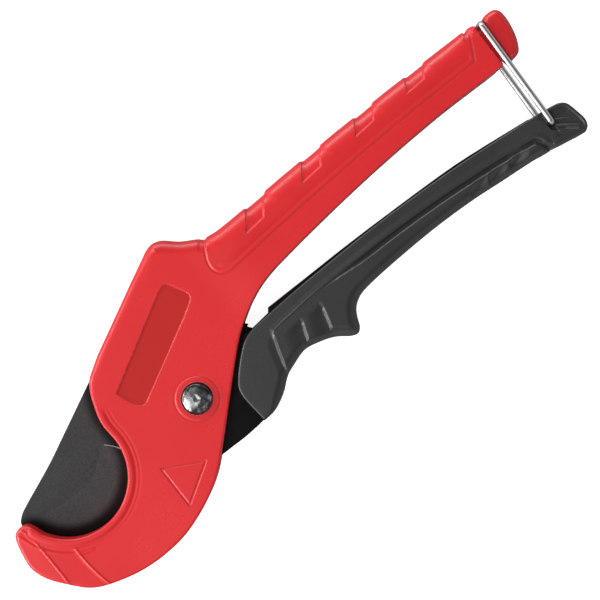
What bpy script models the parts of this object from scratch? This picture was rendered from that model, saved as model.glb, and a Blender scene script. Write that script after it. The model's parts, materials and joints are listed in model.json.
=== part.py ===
"""Ratcheting plastic-pipe cutter, closed and latched.

The tool lies flat: +X runs along the handles towards their far ends, +Y points from the moving
lever to the fixed handle, +Z is the thickness and the direction of the main pivot.  Pieces named
front are on the +Z side, rear on the -Z side.  Lengths are in millimetres and angles in degrees,
about the main pivot; the scene is in metres with its origin at the middle of the whole tool.
"""

import math
from functools import partial

import bmesh
import bpy
import numpy as np
from mathutils import Matrix, Vector
from mathutils.geometry import delaunay_2d_cdt

MM = 0.001                            # metres in a millimetre

# ---------------------------------------------------------------- driving dimensions
PIVOT_IN_SCENE = (-35.05, -7.0)
PIVOT = (0.0, 0.0)
GAP = 0.3                             # running gap between neighbours
PARTING = 0.15                        # each moulded half stops this far from the middle plane

# Half thicknesses
HEAD_Z = 8.5                          # cutting head
HANDLE_Z = 9.0                        # fixed handle
CAP_Z = 8.0                           # handle's end, inside the bail
LEVER_Z = 9.3                         # lever's grip
BLADE_Z = 1.5
BLADE_SLOT_Z = 1.85
HEAD_CAVITY_Z = 4.7                   # pocket that holds the lever channel
PLATE_IN, PLATE_OUT = 1.8, 3.6        # faces of the lever channel's two walls

JAW_CENTRE, JAW_R = (-43.3, 6.75), 17.6     # round seat for a 32 mm pipe

BOLT_R = 3.0                          # shank of the pivot bolt
BUSH_R = 5.0                          # outside of the pivot bush

BLADE_BACK = 29.9                     # pivot to the blade's straight back
BLADE_BACK_DIR = 114.35               # direction of that back's normal
BLADE_SHOULDER_R = 30.6
BLADE_TIP_R = 63.2
BLADE_HUB_R = 13.0
BLADE_OPEN = 50.0                     # swing of the blade

TOOTH_PITCH = 5.0
TOOTH_TOP_R, TOOTH_ROOT_R = 25.7, 24.8
TOOTH_PHASE = 0.6                     # angle of the first steep face
SECTOR_FROM, SECTOR_TO = -2.5, 95.0
TOOTH_COUNT = math.ceil((SECTOR_TO - TOOTH_PHASE) / TOOTH_PITCH)

PAWL_PIN_AT_R = 28.75                 # pivot to a pawl's pin
PAWL_REACH = 18.4                     # from the pin to the pawl's nose, seen from the pivot
PAWL_LIFT = 8.0                       # the pawls rest lifted clear of the teeth
PAWL_EYE_R = 2.4
DRIVE_PAWL_AT = -14.0
HOLDING_PAWL_AT = 26.0
PIN_R = 1.25
PIN_FIT = 0.15                        # radial play of a pin in its hole
STOP_PIN_R = 1.0

SPRING_LEG_AT = 150.0                 # direction of the return spring's straight leg
SPRING_LEG_R = 12.0

BAIL_FOOT = (128.5, -4.8)             # the bail turns here
BAIL_TOP = (130.9, 30.0)
BAIL_LEG_Z = 9.3
BAIL_WIRE_R = 0.9

# Screw centres (x, y)
BODY_SCREWS = ((-47.0, -20.5), (-19.5, -18.5), (14.0, 36.3), (60.0, 25.0), (118.0, 24.5))
GRIP_SCREWS = ((42.0, -2.2), (84.0, 0.6), (119.0, -1.6))

# Where cutters begin or end, clear of the faces they pass through
PAST_MIDDLE = -1.0
OUTSIDE = 14.0
FAR_OUTSIDE = 20.0


# ---------------------------------------------------------------- outlines
def polar(radius, degrees, centre=PIVOT):
    turn = math.radians(degrees)
    return (centre[0] + radius * math.cos(turn), centre[1] + radius * math.sin(turn))


def arc(centre, radius, start, end, count):
    """Points at the ends of count equal steps along an arc."""
    return [polar(radius, start + (end - start) * i / count, centre) for i in range(count + 1)]


def circle(radius, sides=24, centre=PIVOT, start=0):
    return [polar(radius, start + 360 * i / sides, centre) for i in range(sides)]


def corners(points):
    """Marks every point as a corner for curve()."""
    return [(x, y, 0) for x, y in points]


HOLDING_PAWL_PIN = polar(PAWL_PIN_AT_R, HOLDING_PAWL_AT)
DRIVE_PAWL_PIN = polar(PAWL_PIN_AT_R, DRIVE_PAWL_AT)
STOP_PIN = polar(29.0, 48.3)


def simplify(points, tolerance):
    """Drops points that lie within the tolerance of the line between their kept neighbours."""
    keep = [False] * len(points)
    keep[0] = keep[-1] = True
    todo = [(0, len(points) - 1)]
    while todo:
        start, end = todo.pop()
        if end - start < 2:
            continue
        (ax, ay), (bx, by) = points[start], points[end]
        length = math.hypot(bx - ax, by - ay)
        farthest, at = -1.0, start
        for i in range(start + 1, end):
            px, py = points[i]
            off = abs((bx - ax) * (py - ay) - (by - ay) * (px - ax)) / length
            if off > farthest:
                farthest, at = off, i
        if farthest > tolerance:
            keep[at] = True
            todo += [(start, at), (at, end)]
    return [point for point, kept in zip(points, keep) if kept]


def spline_span(before, start, end, after, steps=10):
    """Points from start up to, not including, end on a centripetal Catmull-Rom spline."""
    knots = [0.0]
    for a, b in ((before, start), (start, end), (end, after)):
        knots.append(knots[-1] + max(float(np.linalg.norm(b - a)), 1e-6) ** 0.5)

    def blend(i, j, at, a, b):
        span = knots[j] - knots[i]
        return (knots[j] - at) / span * a + (at - knots[i]) / span * b

    points = []
    for k in range(steps):
        at = knots[1] + (knots[2] - knots[1]) * k / steps
        a1 = blend(0, 1, at, before, start)
        a2 = blend(1, 2, at, start, end)
        a3 = blend(2, 3, at, end, after)
        b1 = blend(0, 2, at, a1, a2)
        b2 = blend(1, 3, at, a2, a3)
        x, y = blend(1, 2, at, b1, b2)
        points.append((float(x), float(y)))
    return points


def curve(controls, tolerance):
    """Closed outline through the controls.  (x, y) is smooth, (x, y, 0) is a corner.

    At least one control has to be a corner; the outline starts at the first.
    """
    first = [len(control) == 3 for control in controls].index(True)
    controls = controls[first:] + controls[:first]
    corner = [len(control) == 3 for control in controls]
    places = [np.array(control[:2], float) for control in controls]
    count = len(controls)
    out = []
    for i in range(count):
        following = (i + 1) % count
        start, end = places[i], places[following]
        if corner[i] and corner[following]:
            out.append(tuple(start))
            continue
        before = 2 * start - end if corner[i] else places[i - 1]
        after = 2 * end - start if corner[following] else places[(i + 2) % count]
        out += spline_span(before, start, end, after)
    half = len(out) // 2
    return (simplify(out[:half + 1], tolerance)[:-1]
            + simplify(out[half:] + out[:1], tolerance)[:-1])


def sides_of(points):
    return zip(points, points[1:] + points[:1])


def counter_clockwise(points):
    area = sum(a[0] * b[1] - b[0] * a[1] for a, b in sides_of(points))
    return points if area > 0 else points[::-1]


def divided(points, longest):
    """The outline with its long sides split."""
    out = []
    for a, b in sides_of(points):
        parts = max(1, math.ceil(math.hypot(b[0] - a[0], b[1] - a[1]) / longest))
        out += [(a[0] + (b[0] - a[0]) * k / parts, a[1] + (b[1] - a[1]) * k / parts)
                for k in range(parts)]
    return out


def edge_distance(points, outline):
    """Distance from each point to the outline, and whether it is inside."""
    p = np.asarray(points, float)[:, None, :]
    a = np.asarray(outline, float)[None]
    b = np.roll(a, -1, axis=1)
    ab = b - a
    t = np.clip(((p - a) * ab).sum(2) / np.maximum((ab * ab).sum(2), 1e-12), 0, 1)
    near = np.sqrt((((a + t[..., None] * ab) - p) ** 2).sum(2)).min(1)
    crosses = (a[..., 1] > p[..., 1]) != (b[..., 1] > p[..., 1])
    dy = np.where(b[..., 1] == a[..., 1], 1e-12, b[..., 1] - a[..., 1])
    x = a[..., 0] + (p[..., 1] - a[..., 1]) * (b[..., 0] - a[..., 0]) / dy
    inside = ((crosses & (p[..., 0] < x)).sum(1) % 2) == 1
    return near, inside


def smoothstep(start, end, x):
    t = min(max((x - start) / (end - start), 0.0), 1.0)
    return t * t * (3 - 2 * t)


def rounded_edge(full, radius, distance):
    """Height of a face at this distance from its outline, the edge rounded by the radius."""
    if distance >= radius:
        return full
    return full - radius + math.sqrt(max(radius * radius - (radius - distance) ** 2, 0.0))


# ---------------------------------------------------------------- solids
def finish(name, bm, material, origin=PIVOT, smooth=0):
    """An object from a bmesh drawn about the main pivot in mm, with its origin at (x, y).

    Edges sharper than the angle smooth stay sharp; with 0 the faces stay flat.
    """
    bmesh.ops.recalc_face_normals(bm, faces=bm.faces)
    mesh = bpy.data.meshes.new(name)
    bm.to_mesh(mesh)
    bm.free()
    mesh.transform(Matrix.Scale(MM, 4) @ Matrix.Translation((-origin[0], -origin[1], 0)))
    obj = bpy.data.objects.new(name, mesh)
    bpy.context.scene.collection.objects.link(obj)
    obj.location = ((origin[0] + PIVOT_IN_SCENE[0]) * MM, (origin[1] + PIVOT_IN_SCENE[1]) * MM, 0)
    if smooth:
        mesh.shade_smooth()
        mesh.set_sharp_from_angle(angle=math.radians(smooth))
    if material:
        mesh.materials.append(material)
    return obj


def bridge(bm, low, high):
    """Quads between two closed rings of vertices."""
    for k in range(len(low)):
        j = (k + 1) % len(low)
        bm.faces.new((low[k], low[j], high[j], high[k]))


def prism(name, outline, z0, z1, material=None, origin=PIVOT):
    """Flat plate with the given outline."""
    bm = bmesh.new()
    base = bm.faces.new([bm.verts.new((x, y, z0)) for x, y in counter_clockwise(outline)][::-1])
    for item in bmesh.ops.extrude_face_region(bm, geom=[base])["geom"]:
        if isinstance(item, bmesh.types.BMVert):
            item.co.z = z1
    return finish(name, bm, material, origin)


def turned(name, profile, material=None, at=PIVOT, sides=24):
    """Solid of revolution about a Z line.

    profile is (radius, z) points: round a closed section, or from axis to axis.
    """
    bm = bmesh.new()
    rings = []
    for radius, z in profile:
        if radius == 0:
            rings.append([bm.verts.new((at[0], at[1], z))])
        else:
            rings.append([
                bm.verts.new((at[0] + radius * math.cos(2 * math.pi * k / sides),
                              at[1] + radius * math.sin(2 * math.pi * k / sides), z))
                for k in range(sides)
            ])
    if len(rings[0]) > 1:
        rings.append(rings[0])
    for low, high in zip(rings, rings[1:]):
        if len(low) > 1 and len(high) > 1:
            bridge(bm, low, high)
            continue
        for k in range(sides):
            j = (k + 1) % sides
            if len(low) == 1:
                bm.faces.new((low[0], high[j], high[k]))
            else:
                bm.faces.new((low[k], low[j], high[0]))
    return finish(name, bm, material, smooth=35)


def tube(inner, outer, z0, z1):
    """Profile of a plain ring."""
    return [(inner, z0), (outer, z0), (outer, z1), (inner, z1)]


def make_pin(name, at, radius, half_length, sides):
    turned(name, tube(0, radius, -half_length, half_length), ZINC, at, sides)


def sweep(name, path, radius, sides, material, origin=PIVOT):
    """Round wire along a path of (x, y, z) points."""
    points = [Vector(p) for p in path]
    bm = bmesh.new()
    normal = None
    rings = []
    for i, point in enumerate(points):
        tangent = (points[min(i + 1, len(points) - 1)] - points[max(i - 1, 0)]).normalized()
        if normal is None:
            normal = tangent.orthogonal().normalized()
        normal = (normal - tangent * normal.dot(tangent)).normalized()
        side = tangent.cross(normal)
        rings.append([
            bm.verts.new(point + radius * (math.cos(2 * math.pi * k / sides) * normal
                                           + math.sin(2 * math.pi * k / sides) * side))
            for k in range(sides)
        ])
    for low, high in zip(rings, rings[1:]):
        bridge(bm, low, high)
    bm.faces.new(rings[0][::-1])
    bm.faces.new(rings[-1])
    return finish(name, bm, material, origin, smooth=40)


def unit_rows(vectors):
    return vectors / np.maximum(np.linalg.norm(vectors, axis=1, keepdims=True), 1e-9)


def inner_points(outline, offsets, spacing):
    """Points inside the outline: rows that follow it at each offset, and a grid further in."""
    ring = np.array(outline)
    ahead, behind = np.roll(ring, -1, 0) - ring, ring - np.roll(ring, 1, 0)
    tangent = unit_rows(unit_rows(ahead) + unit_rows(behind))
    inward = np.stack([-tangent[:, 1], tangent[:, 0]], 1)
    found = []
    for offset in offsets:
        row = ring + inward * offset
        near, inside = edge_distance(row, outline)
        found += [tuple(p) for p, m, ok in zip(row, near, inside) if ok and m > 0.93 * offset]
    low, high = ring.min(0), ring.max(0)
    grid = [(x, y) for x in np.arange(low[0], high[0], spacing)
            for y in np.arange(low[1], high[1], spacing)]
    near, inside = edge_distance(grid, outline)
    clear = max(offsets) + 0.45 * spacing
    found += [p for p, m, ok in zip(grid, near, inside) if ok and m > clear]

    # Thin out crowded points; looking back a limited number keeps this quick.
    closest_squared, look_back = 0.12, 400
    kept = []
    for p in found:
        if all((p[0] - q[0]) ** 2 + (p[1] - q[1]) ** 2 > closest_squared
               for q in kept[-look_back:]):
            kept.append(p)
    return kept


def relief(name, outline, height, offsets, spacing, material, side=0):
    """Plate whose outer face stands at height(x, y, distance to the outline).

    side +1 or -1 makes a moulded half on that side of Z = 0 with a flat parting face;
    side 0 makes both faces, mirrored in the middle plane.
    """
    outline = divided(counter_clockwise(outline), 1.1 * spacing)
    count = len(outline)
    flat = [Vector(p) for p in outline + inner_points(outline, offsets, spacing)]
    edges = [(i, (i + 1) % count) for i in range(count)]
    places, _, triangles, _, _, _ = delaunay_2d_cdt(flat, edges, [], 1, 1e-6)
    near, _ = edge_distance([(v.x, v.y) for v in places], outline)
    near[:count] = 0
    bm = bmesh.new()

    def face_verts(sign):
        return [bm.verts.new((v.x, v.y, sign * height(v.x, v.y, d)))
                for v, d in zip(places, near)]

    top = face_verts(side or 1)
    for triangle in triangles:
        bm.faces.new([top[i] for i in triangle])
    if side:
        low = [bm.verts.new((v.x, v.y, side * PARTING)) for v in places[:count]]
        bm.faces.new(low[::-1])
    else:
        low = face_verts(-1)
        for triangle in triangles:
            bm.faces.new([low[i] for i in reversed(triangle)])
    bridge(bm, low[:count], top[:count])
    return finish(name, bm, material, smooth=30)


def boolean(obj, other, operation="DIFFERENCE"):
    modifier = obj.modifiers.new(operation.lower(), "BOOLEAN")
    modifier.operation = operation
    modifier.solver = "EXACT"
    modifier.object = other
    other.hide_render = True
    other.display_type = "WIRE"


def cut(obj, side, tag, outline, z_from, z_to):
    """Cuts a prism out of obj; side -1 mirrors its depths to the rear."""
    z0, z1 = sorted((side * z_from, side * z_to))
    boolean(obj, prism(f"{obj.name}_cut_{tag}", outline, z0, z1))


# ---------------------------------------------------------------- materials
def make_material(name, color, roughness, metallic=0.0):
    material = bpy.data.materials.new(name)
    material.use_nodes = True
    inputs = material.node_tree.nodes["Principled BSDF"].inputs
    inputs["Base Color"].default_value = (*color, 1)
    inputs["Roughness"].default_value = roughness
    inputs["Metallic"].default_value = metallic
    material.diffuse_color = (*color, 1)
    return material


RED = make_material("red_moulding", color=(0.66, 0.045, 0.045), roughness=0.42)
BLACK = make_material("black_moulding", color=(0.035, 0.035, 0.036), roughness=0.48)
COATED = make_material("coated_blade_steel", color=(0.045, 0.045, 0.046), roughness=0.5,
                       metallic=0.3)
DARK_STEEL = make_material("blackened_steel", color=(0.02, 0.02, 0.02), roughness=0.45,
                           metallic=0.6)
CHROME = make_material("chromed_steel", color=(0.75, 0.75, 0.76), roughness=0.12, metallic=1.0)
ZINC = make_material("zinc_steel", color=(0.55, 0.55, 0.56), roughness=0.3, metallic=1.0)
SPRING = make_material("spring_steel", color=(0.35, 0.35, 0.36), roughness=0.35, metallic=1.0)

# ---------------------------------------------------------------- fixed body: two red shells
# Controls (x, y), a third 0 marks a corner: jaw, handle's +Y side, far end, back to the head.
BODY = curve(
    corners(arc(JAW_CENTRE, JAW_R, 206, 360, 22))
    + [(-25.8, 10.9), (-25.1, 14.7), (-24.0, 17.6), (-22.6, 20.9), (-20.4, 24.0), (-17.4, 26.0),
       (-14.3, 27.8, 0), (13.0, 40.8, 0), (15.6, 41.9), (18.0, 42.4), (20.8, 41.6), (25.0, 37.8),
       (29.9, 34.6), (35.0, 33.4), (45.0, 33.2), (66.0, 33.3), (86.0, 33.0), (104.0, 32.6),
       (123.0, 31.8), (126.9, 31.5), (128.9, 31.2), (129.5, 30.4), (129.7, 28.8, 0),
       (132.0, 28.8, 0), (132.3, 30.6), (134.2, 31.2), (136.8, 30.8), (137.9, 29.6),
       (138.2, 27.8), (137.9, 24.6), (136.5, 19.8), (134.6, 16.9), (132.7, 16.3), (131.4, 16.6),
       (131.1, 18.0, 0), (128.8, 18.0, 0), (128.7, 17.0), (127.9, 16.8), (106.0, 17.6),
       (75.5, 17.0), (41.5, 14.3), (35.7, 13.2), (31.5, 11.8), (27.2, 9.8), (20.9, 5.8, 0),
       (-4.2, -16.0, 0), (-10.9, -21.3), (-18.1, -24.9), (-27.7, -27.8), (-35.1, -28.4),
       (-41.5, -28.0), (-47.3, -26.8), (-55.3, -23.9), (-58.9, -21.5), (-63.5, -16.2),
       (-66.5, -11.8), (-68.0, -7.3), (-67.8, -4.0), (-66.2, 2.0), (-65.0, 3.7), (-62.4, 4.3),
       (-60.8, 3.4), (-59.8, 1.3)],
    tolerance=0.08)

POCKET_SPANS = ((38, 55.5), (64.5, 87), (91, 113.5))    # x from, x to, between the ribs
HANDLE_WALL = 2.9
CAP_REGION = [(128.3, 14.0), (129.4, 35.0), (142, 35), (142, 14)]


def body_height(x, y, distance):
    """Outer face of a shell: flat head, thicker handle with a rounder edge."""
    swell = smoothstep(22, 38, x)
    return rounded_edge(HEAD_Z + (HANDLE_Z - HEAD_Z) * swell, 2.2 + 1.5 * swell, distance)


def slot_outline():
    """Room for the blade and its toothed hub over the whole swing."""
    hub_room = 31.8
    back_room = BLADE_BACK + 1.3
    back_dir = BLADE_BACK_DIR - BLADE_OPEN
    normal = polar(1, back_dir)
    exit_point = (back_room * normal[0] - 20 * normal[1], back_room * normal[1] + 20 * normal[0])
    meet = back_dir + math.degrees(math.acos(back_room / hub_room))
    return (
        arc(PIVOT, hub_room, 20, meet, 12)
        + [exit_point, (-30, 38), (-76, 22), (-76, 8)]
        + arc(PIVOT, BLADE_TIP_R + 0.5, 176, 187, 4)
        + [(-44.5, -13.3), (-42.0, -13.4), (-40.0, -12.8), (-26.5, -6.6), (-19.0, -6.0),
           (0, -5), (14, -26), (45, -26), (36, 8)]
    )


def leaf_room():
    """Pocket for the holding pawl's leaf spring."""
    # (radius, angle ahead of the pawl's pin)
    stations = ((30, 3), (35.6, 1.5), (36.2, 8), (34.2, 21), (30, 21))
    return [polar(radius, HOLDING_PAWL_AT + ahead) for radius, ahead in stations]


def spring_leg_room():
    # (radius, angle from the leg)
    stations = ((6.6, -8), (12.5, -4), (12.5, 4), (6.6, 8))
    return [polar(radius, SPRING_LEG_AT + aside) for radius, aside in stations]


def handle_pocket(x0, x1):
    """Hollow in the handle between two ribs."""
    def low(x):
        return 14.3 + 2.7 * smoothstep(36, 80, x) + HANDLE_WALL

    def high(x):
        return 33.2 - 0.6 * smoothstep(80, 120, x) - HANDLE_WALL

    return [(x0, low(x0)), (x1, low(x1)), (x1, high(x1)), (x0, high(x0))]


def make_shell(name, side):
    shell = relief(name, BODY, body_height, offsets=(0.6, 1.9, 3.8), spacing=8.0,
                   material=RED, side=side)
    carve = partial(cut, shell, side)
    carve("slot", slot_outline(), PAST_MIDDLE, BLADE_SLOT_Z)
    # A hair deeper than the slot, so that the two floors do not coincide.
    carve("spring_leaf", leaf_room(), PAST_MIDDLE, BLADE_SLOT_Z + 0.01)
    carve("head", circle(22.0, 48), PAST_MIDDLE, HEAD_CAVITY_Z)
    for k, (x0, x1) in enumerate(POCKET_SPANS):
        carve(f"pocket_{k}", handle_pocket(x0, x1), PAST_MIDDLE, 6.6)
    carve("cap", CAP_REGION, CAP_Z, OUTSIDE)
    carve("bolt", circle(BOLT_R + GAP), 3.0, FAR_OUTSIDE)
    if side > 0:
        carve("bolt_head", circle(4.75), 7.8, FAR_OUTSIDE)
        boolean(shell, turned(f"{name}_cut_return_spring", tube(5.7, 7.4, 4.0, 7.2), sides=32))
        carve("spring_leg", spring_leg_room(), 4.0, 7.2)
    else:
        carve("nut", circle(6.3), 7.4, FAR_OUTSIDE)
    carve("pawl_pin", circle(PIN_R + PIN_FIT, 12, HOLDING_PAWL_PIN), 1.0, 6.3)
    carve("stop_pin", circle(STOP_PIN_R + PIN_FIT, 12, STOP_PIN), 1.0, 5.3)
    # Blind screw holes in the front shell; through holes and head recesses in the rear.
    for k, place in enumerate(BODY_SCREWS):
        hole = circle(1.7, 12, place)
        if side > 0:
            carve(f"screw_{k}", hole, PAST_MIDDLE, 5.6)
        else:
            carve(f"screw_{k}", hole, PAST_MIDDLE, FAR_OUTSIDE)
            carve(f"screw_head_{k}", circle(3.1, 16, place), 6.0, FAR_OUTSIDE)


# ---------------------------------------------------------------- main pivot
# (radius, z) from the rear end to the domed head in front
BOLT_PROFILE = [(0, -10.6), (2.7, -10.6), (BOLT_R, -10.3), (BOLT_R, 8.0), (4.3, 8.0), (4.3, 9.1),
                (3.9, 9.9), (3.1, 10.5), (2.0, 10.85), (1.2, 10.9), (1.0, 10.5), (0, 10.4)]


def make_pivot():
    turned("pivot_bolt", BOLT_PROFILE, CHROME)
    turned("pivot_washer", tube(BOLT_R + GAP, 5.8, -8.2, -7.6), ZINC)
    nut = prism("pivot_nut", circle(4.7, 6, start=10), -10.9, -8.4, ZINC)
    cut(nut, 1, "thread", circle(3.2), -12, -7)
    turned("pivot_bush", tube(3.2, BUSH_R, -4.4, 4.4), ZINC)
    turned("thrust_washer_front", tube(BUSH_R + GAP, 8.6, 3.85, 4.4), BLACK)
    turned("thrust_washer_rear", tube(BUSH_R + GAP, 8.6, -4.4, -3.85), BLACK)


def make_return_spring():
    """Torsion spring: a straight leg in the front shell, then a coil descending in -Z."""
    turns, steps = 1.75, 30
    leg_z, drop = 6.5, 1.55
    path = [(*polar(SPRING_LEG_R, SPRING_LEG_AT), leg_z), (*polar(7.4, SPRING_LEG_AT), leg_z)]
    for i in range(steps + 1):
        t = i / steps
        path.append((*polar(6.55, SPRING_LEG_AT - 9 - 360 * turns * t), leg_z - drop * t))
    sweep("return_spring", path, radius=0.5, sides=6, material=SPRING)


# ---------------------------------------------------------------- fasteners and pins
# (radius, z) from the socket in the rear head to the front tip
BODY_SCREW_PROFILE = [(0, -7.2), (1.1, -7.2), (1.1, -8.2), (2.2, -8.1), (2.8, -7.6),
                      (2.8, -6.2), (1.4, -6.2), (1.4, 5.0), (0, 5.2)]
GRIP_SCREW_PROFILE = [(0, -7.4), (1.0, -7.4), (1.0, -8.3), (2.0, -8.2), (2.5, -7.8),
                      (2.5, -6.6), (1.25, -6.6), (1.25, 6.0), (0, 6.2)]


def make_screws(name, profile, places):
    for number, place in enumerate(places, 1):
        turned(f"{name}_{number}", profile, ZINC, place, sides=12)


def make_pins():
    make_pin("holding_pawl_pin", HOLDING_PAWL_PIN, PIN_R, half_length=6.0, sides=14)
    make_pin("blade_stop_pin", STOP_PIN, STOP_PIN_R, half_length=5.0, sides=12)
    make_pin("drive_pawl_pin", DRIVE_PAWL_PIN, PIN_R, half_length=5.3, sides=14)


# ---------------------------------------------------------------- blade with its toothed hub
def blade_outline():
    """Hub, saw teeth whose steep faces look clockwise, shoulder, back, tip and cutting edge."""
    points = [polar(BLADE_HUB_R, -6), polar(16.0, SECTOR_FROM), polar(TOOTH_ROOT_R, SECTOR_FROM)]
    for k in range(TOOTH_COUNT):
        at = TOOTH_PHASE + TOOTH_PITCH * k
        points += [polar(TOOTH_ROOT_R, at), polar(TOOTH_TOP_R, at)]
    last_ramp_end = TOOTH_PHASE + TOOTH_PITCH * TOOTH_COUNT
    points += [polar(TOOTH_ROOT_R, last_ramp_end), polar(TOOTH_ROOT_R, 101)]
    points += arc(PIVOT, BLADE_SHOULDER_R, 101, 112, 2)
    points += [(-45.2, 13.05), (-59.7, 7.5), (-61.1, 6.75), (-62.4, 5.65), (-63.05, 4.4)]
    points += arc(PIVOT, BLADE_TIP_R, 177.2, 186.4, 3)
    points += [(-44.8, -12.6), (-42.6, -12.8), (-40.6, -12.2), (-27.0, -5.9), (-20.5, -5.6),
               (-14.0, -7.0)]
    points += arc(PIVOT, BLADE_HUB_R, 222, 350, 14)
    return points


def blade_height(x, y, distance):
    """Full thickness, ground down to a fine land along the cutting edge."""
    if x >= -22 or y > 6:
        return BLADE_Z
    land, grind_width = 0.2, 11.5
    # Distances from the edge's two straight runs, towards the tip and towards the heel
    from_tip_run = (y + 8.2 + (x + 62.0) * 0.245) * 0.971
    from_heel_run = (y + 12.6 - (x + 42.0) * 0.455) * 0.91
    depth = max(from_tip_run, from_heel_run, 0.0)
    return land + (BLADE_Z - land) * min(depth / grind_width, 1.0)


def make_blade():
    blade = relief("blade", blade_outline(), blade_height, offsets=(3.5, 9.0), spacing=9.0,
                   material=COATED)
    cut(blade, 1, "bore", circle(BUSH_R + GAP), -3, 3)


# ---------------------------------------------------------------- lever: channel and two grips
# Controls (x, y), a third 0 marks a corner: along the +Y side, back along -Y, round the pivot.
CHANNEL = curve(
    [(24.2, 5.3, 0), (31.2, 5.8, 0), (32.2, 7.0, 0), (45.0, 6.6), (60.0, 6.2), (75.0, 5.5),
     (90.0, 4.6), (100.0, 3.8), (110.0, 2.5), (120.0, 1.0), (124.5, 0.3, 0), (124.5, -4.6, 0),
     (114.0, -4.2), (100.0, -3.2), (80.0, -2.6), (60.0, -3.4), (40.0, -5.6), (33.0, -6.6),
     (30.6, -8.6), (28.0, -9.7), (24.0, -11.2), (19.5, -14.4), (14.9, -16.6), (10.5, -17.2),
     (4.0, -17.5), (-1.0, -17.3), (-6.5, -16.7), (-10.4, -13.2), (-12.2, -8.0)]
    + corners(arc(PIVOT, 12.4, 180, 60, 9)) + [(12.0, 8.6), (19.0, 5.3, 0)],
    tolerance=0.08)

# Strip that joins the two walls along their +Y side
WEB = curve(
    [(33.5, 6.96, 0), (45.0, 6.6), (60.0, 6.2), (75.0, 5.5), (90.0, 4.6), (100.0, 3.8),
     (110.0, 2.5), (120.0, 1.0), (124.4, 0.32, 0), (124.4, -1.6, 0), (110.0, 0.5), (100.0, 1.8),
     (90.0, 2.6), (75.0, 3.5), (60.0, 4.2), (45.0, 4.6), (33.5, 4.96, 0)],
    tolerance=0.08)

GRIP = curve(
    [(24.5, 5.0), (31.0, 5.4), (40.0, 5.7), (57.0, 5.6), (70.0, 5.3), (80.0, 4.8), (100.0, 3.2),
     (120.0, 0.7), (130.0, -0.8), (133.7, -1.7), (135.4, -3.1), (136.3, -6.6), (136.7, -10.4),
     (136.1, -12.1), (134.5, -13.0), (123.5, -10.7), (96.8, -7.3), (80.6, -6.4), (57.0, -7.0),
     (54.0, -7.8), (51.6, -9.5), (50.1, -11.8), (49.0, -14.2), (47.5, -15.4), (45.6, -14.9),
     (41.7, -12.0), (37.6, -10.3), (32.6, -9.2), (28.0, -10.3), (24.2, -11.7), (19.9, -14.8),
     (14.9, -17.0), (10.7, -17.3, 0), (10.5, -6.7), (11.9, -3.9), (20.7, 3.8)],
    tolerance=0.07)

# Pocket for the channel (x, y): right through in Y at the pivot end, then open towards +Y
GRIP_POCKET = [(4, 14), (4, -26), (31.6, -26), (31.6, -8.4), (33.4, -7.0), (40.0, -6.1),
               (60.0, -3.9), (80.0, -3.1), (100.0, -3.7), (114.0, -4.7), (125.0, -5.1),
               (125.0, 14)]


def grip_height(x, y, distance):
    """Outer face of a grip half: slimmer from mid-length, sharper-edged at the pivot end."""
    full = LEVER_Z - 0.6 * smoothstep(60, 90, x) + 0.4 * smoothstep(110, 128, x)
    return rounded_edge(full, 3.2 - 2.0 * smoothstep(24, 12, x), distance)


def bail_sweep_room():
    """Sector round the bail's foot where the grip is thinned so that the legs can swing."""
    foot_x, foot_y = BAIL_FOOT
    direction = -42.0
    near = polar(1.6, direction - 90, BAIL_FOOT)
    return ([(foot_x - 1.5, 6.0), (foot_x - 1.5, foot_y)]
            + arc(BAIL_FOOT, 1.5, 190, 220, 3)
            + [near, polar(14, direction, near), (150, -14), (150, 6)])


def make_channel():
    channel = prism("lever_channel", CHANNEL, PLATE_IN, PLATE_OUT, DARK_STEEL)
    boolean(channel, prism("channel_rear_wall", CHANNEL, -PLATE_OUT, -PLATE_IN), "UNION")
    web_z = PLATE_IN + 0.2            # runs a little into both walls
    boolean(channel, prism("channel_web", WEB, -web_z, web_z), "UNION")
    holes = [("bore", circle(BUSH_R + GAP)), ("pin", circle(PIN_R + PIN_FIT, 12, DRIVE_PAWL_PIN))]
    holes += [(f"screw_{k}", circle(1.7, 12, place)) for k, place in enumerate(GRIP_SCREWS)]
    for tag, outline in holes:
        boolean(channel, prism(f"channel_cut_{tag}", outline, -8, 8))


def make_grip(name, side):
    grip = relief(name, GRIP, grip_height, offsets=(0.6, 1.7, 3.3), spacing=8.0,
                  material=BLACK, side=side)
    carve = partial(cut, grip, side)
    carve("channel", GRIP_POCKET, PAST_MIDDLE, PLATE_OUT + GAP)
    carve("pin", circle(PIN_R + PIN_FIT, 12, DRIVE_PAWL_PIN), 3.0, 5.6)
    carve("bail_room", bail_sweep_room(), 8.0, OUTSIDE)
    carve("bail_hole", circle(BAIL_WIRE_R + GAP, 12, BAIL_FOOT), 4.8, OUTSIDE)
    # Blind screw holes in the front half; through holes and head recesses in the rear.
    for k, place in enumerate(GRIP_SCREWS):
        hole = circle(1.5, 12, place)
        if side > 0:
            carve(f"screw_{k}", hole, 1.0, 6.6)
        else:
            carve(f"screw_{k}", hole, 1.0, OUTSIDE)
            carve(f"screw_head_{k}", circle(2.8, 16, place), 6.4, OUTSIDE)


# ---------------------------------------------------------------- pawls and their leaf springs
# (radius, angle ahead of the pawl's pin): out along the back, then back with the folded foot
LEAF = ((35.1, 3.0), (34.9, 7.0), (34.2, 11.0), (33.1, 14.5), (32.0, 17.0),
        (31.5, 16.8), (32.6, 14.2), (33.7, 10.8), (34.3, 7.2), (34.1, 4.6), (33.0, 4.4),
        (33.0, 3.6), (34.4, 3.1))


def turn_about(point, centre, degrees):
    c, s = math.cos(math.radians(degrees)), math.sin(math.radians(degrees))
    x, y = point[0] - centre[0], point[1] - centre[1]
    return (centre[0] + c * x - s * y, centre[1] + s * x + c * y)


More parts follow.
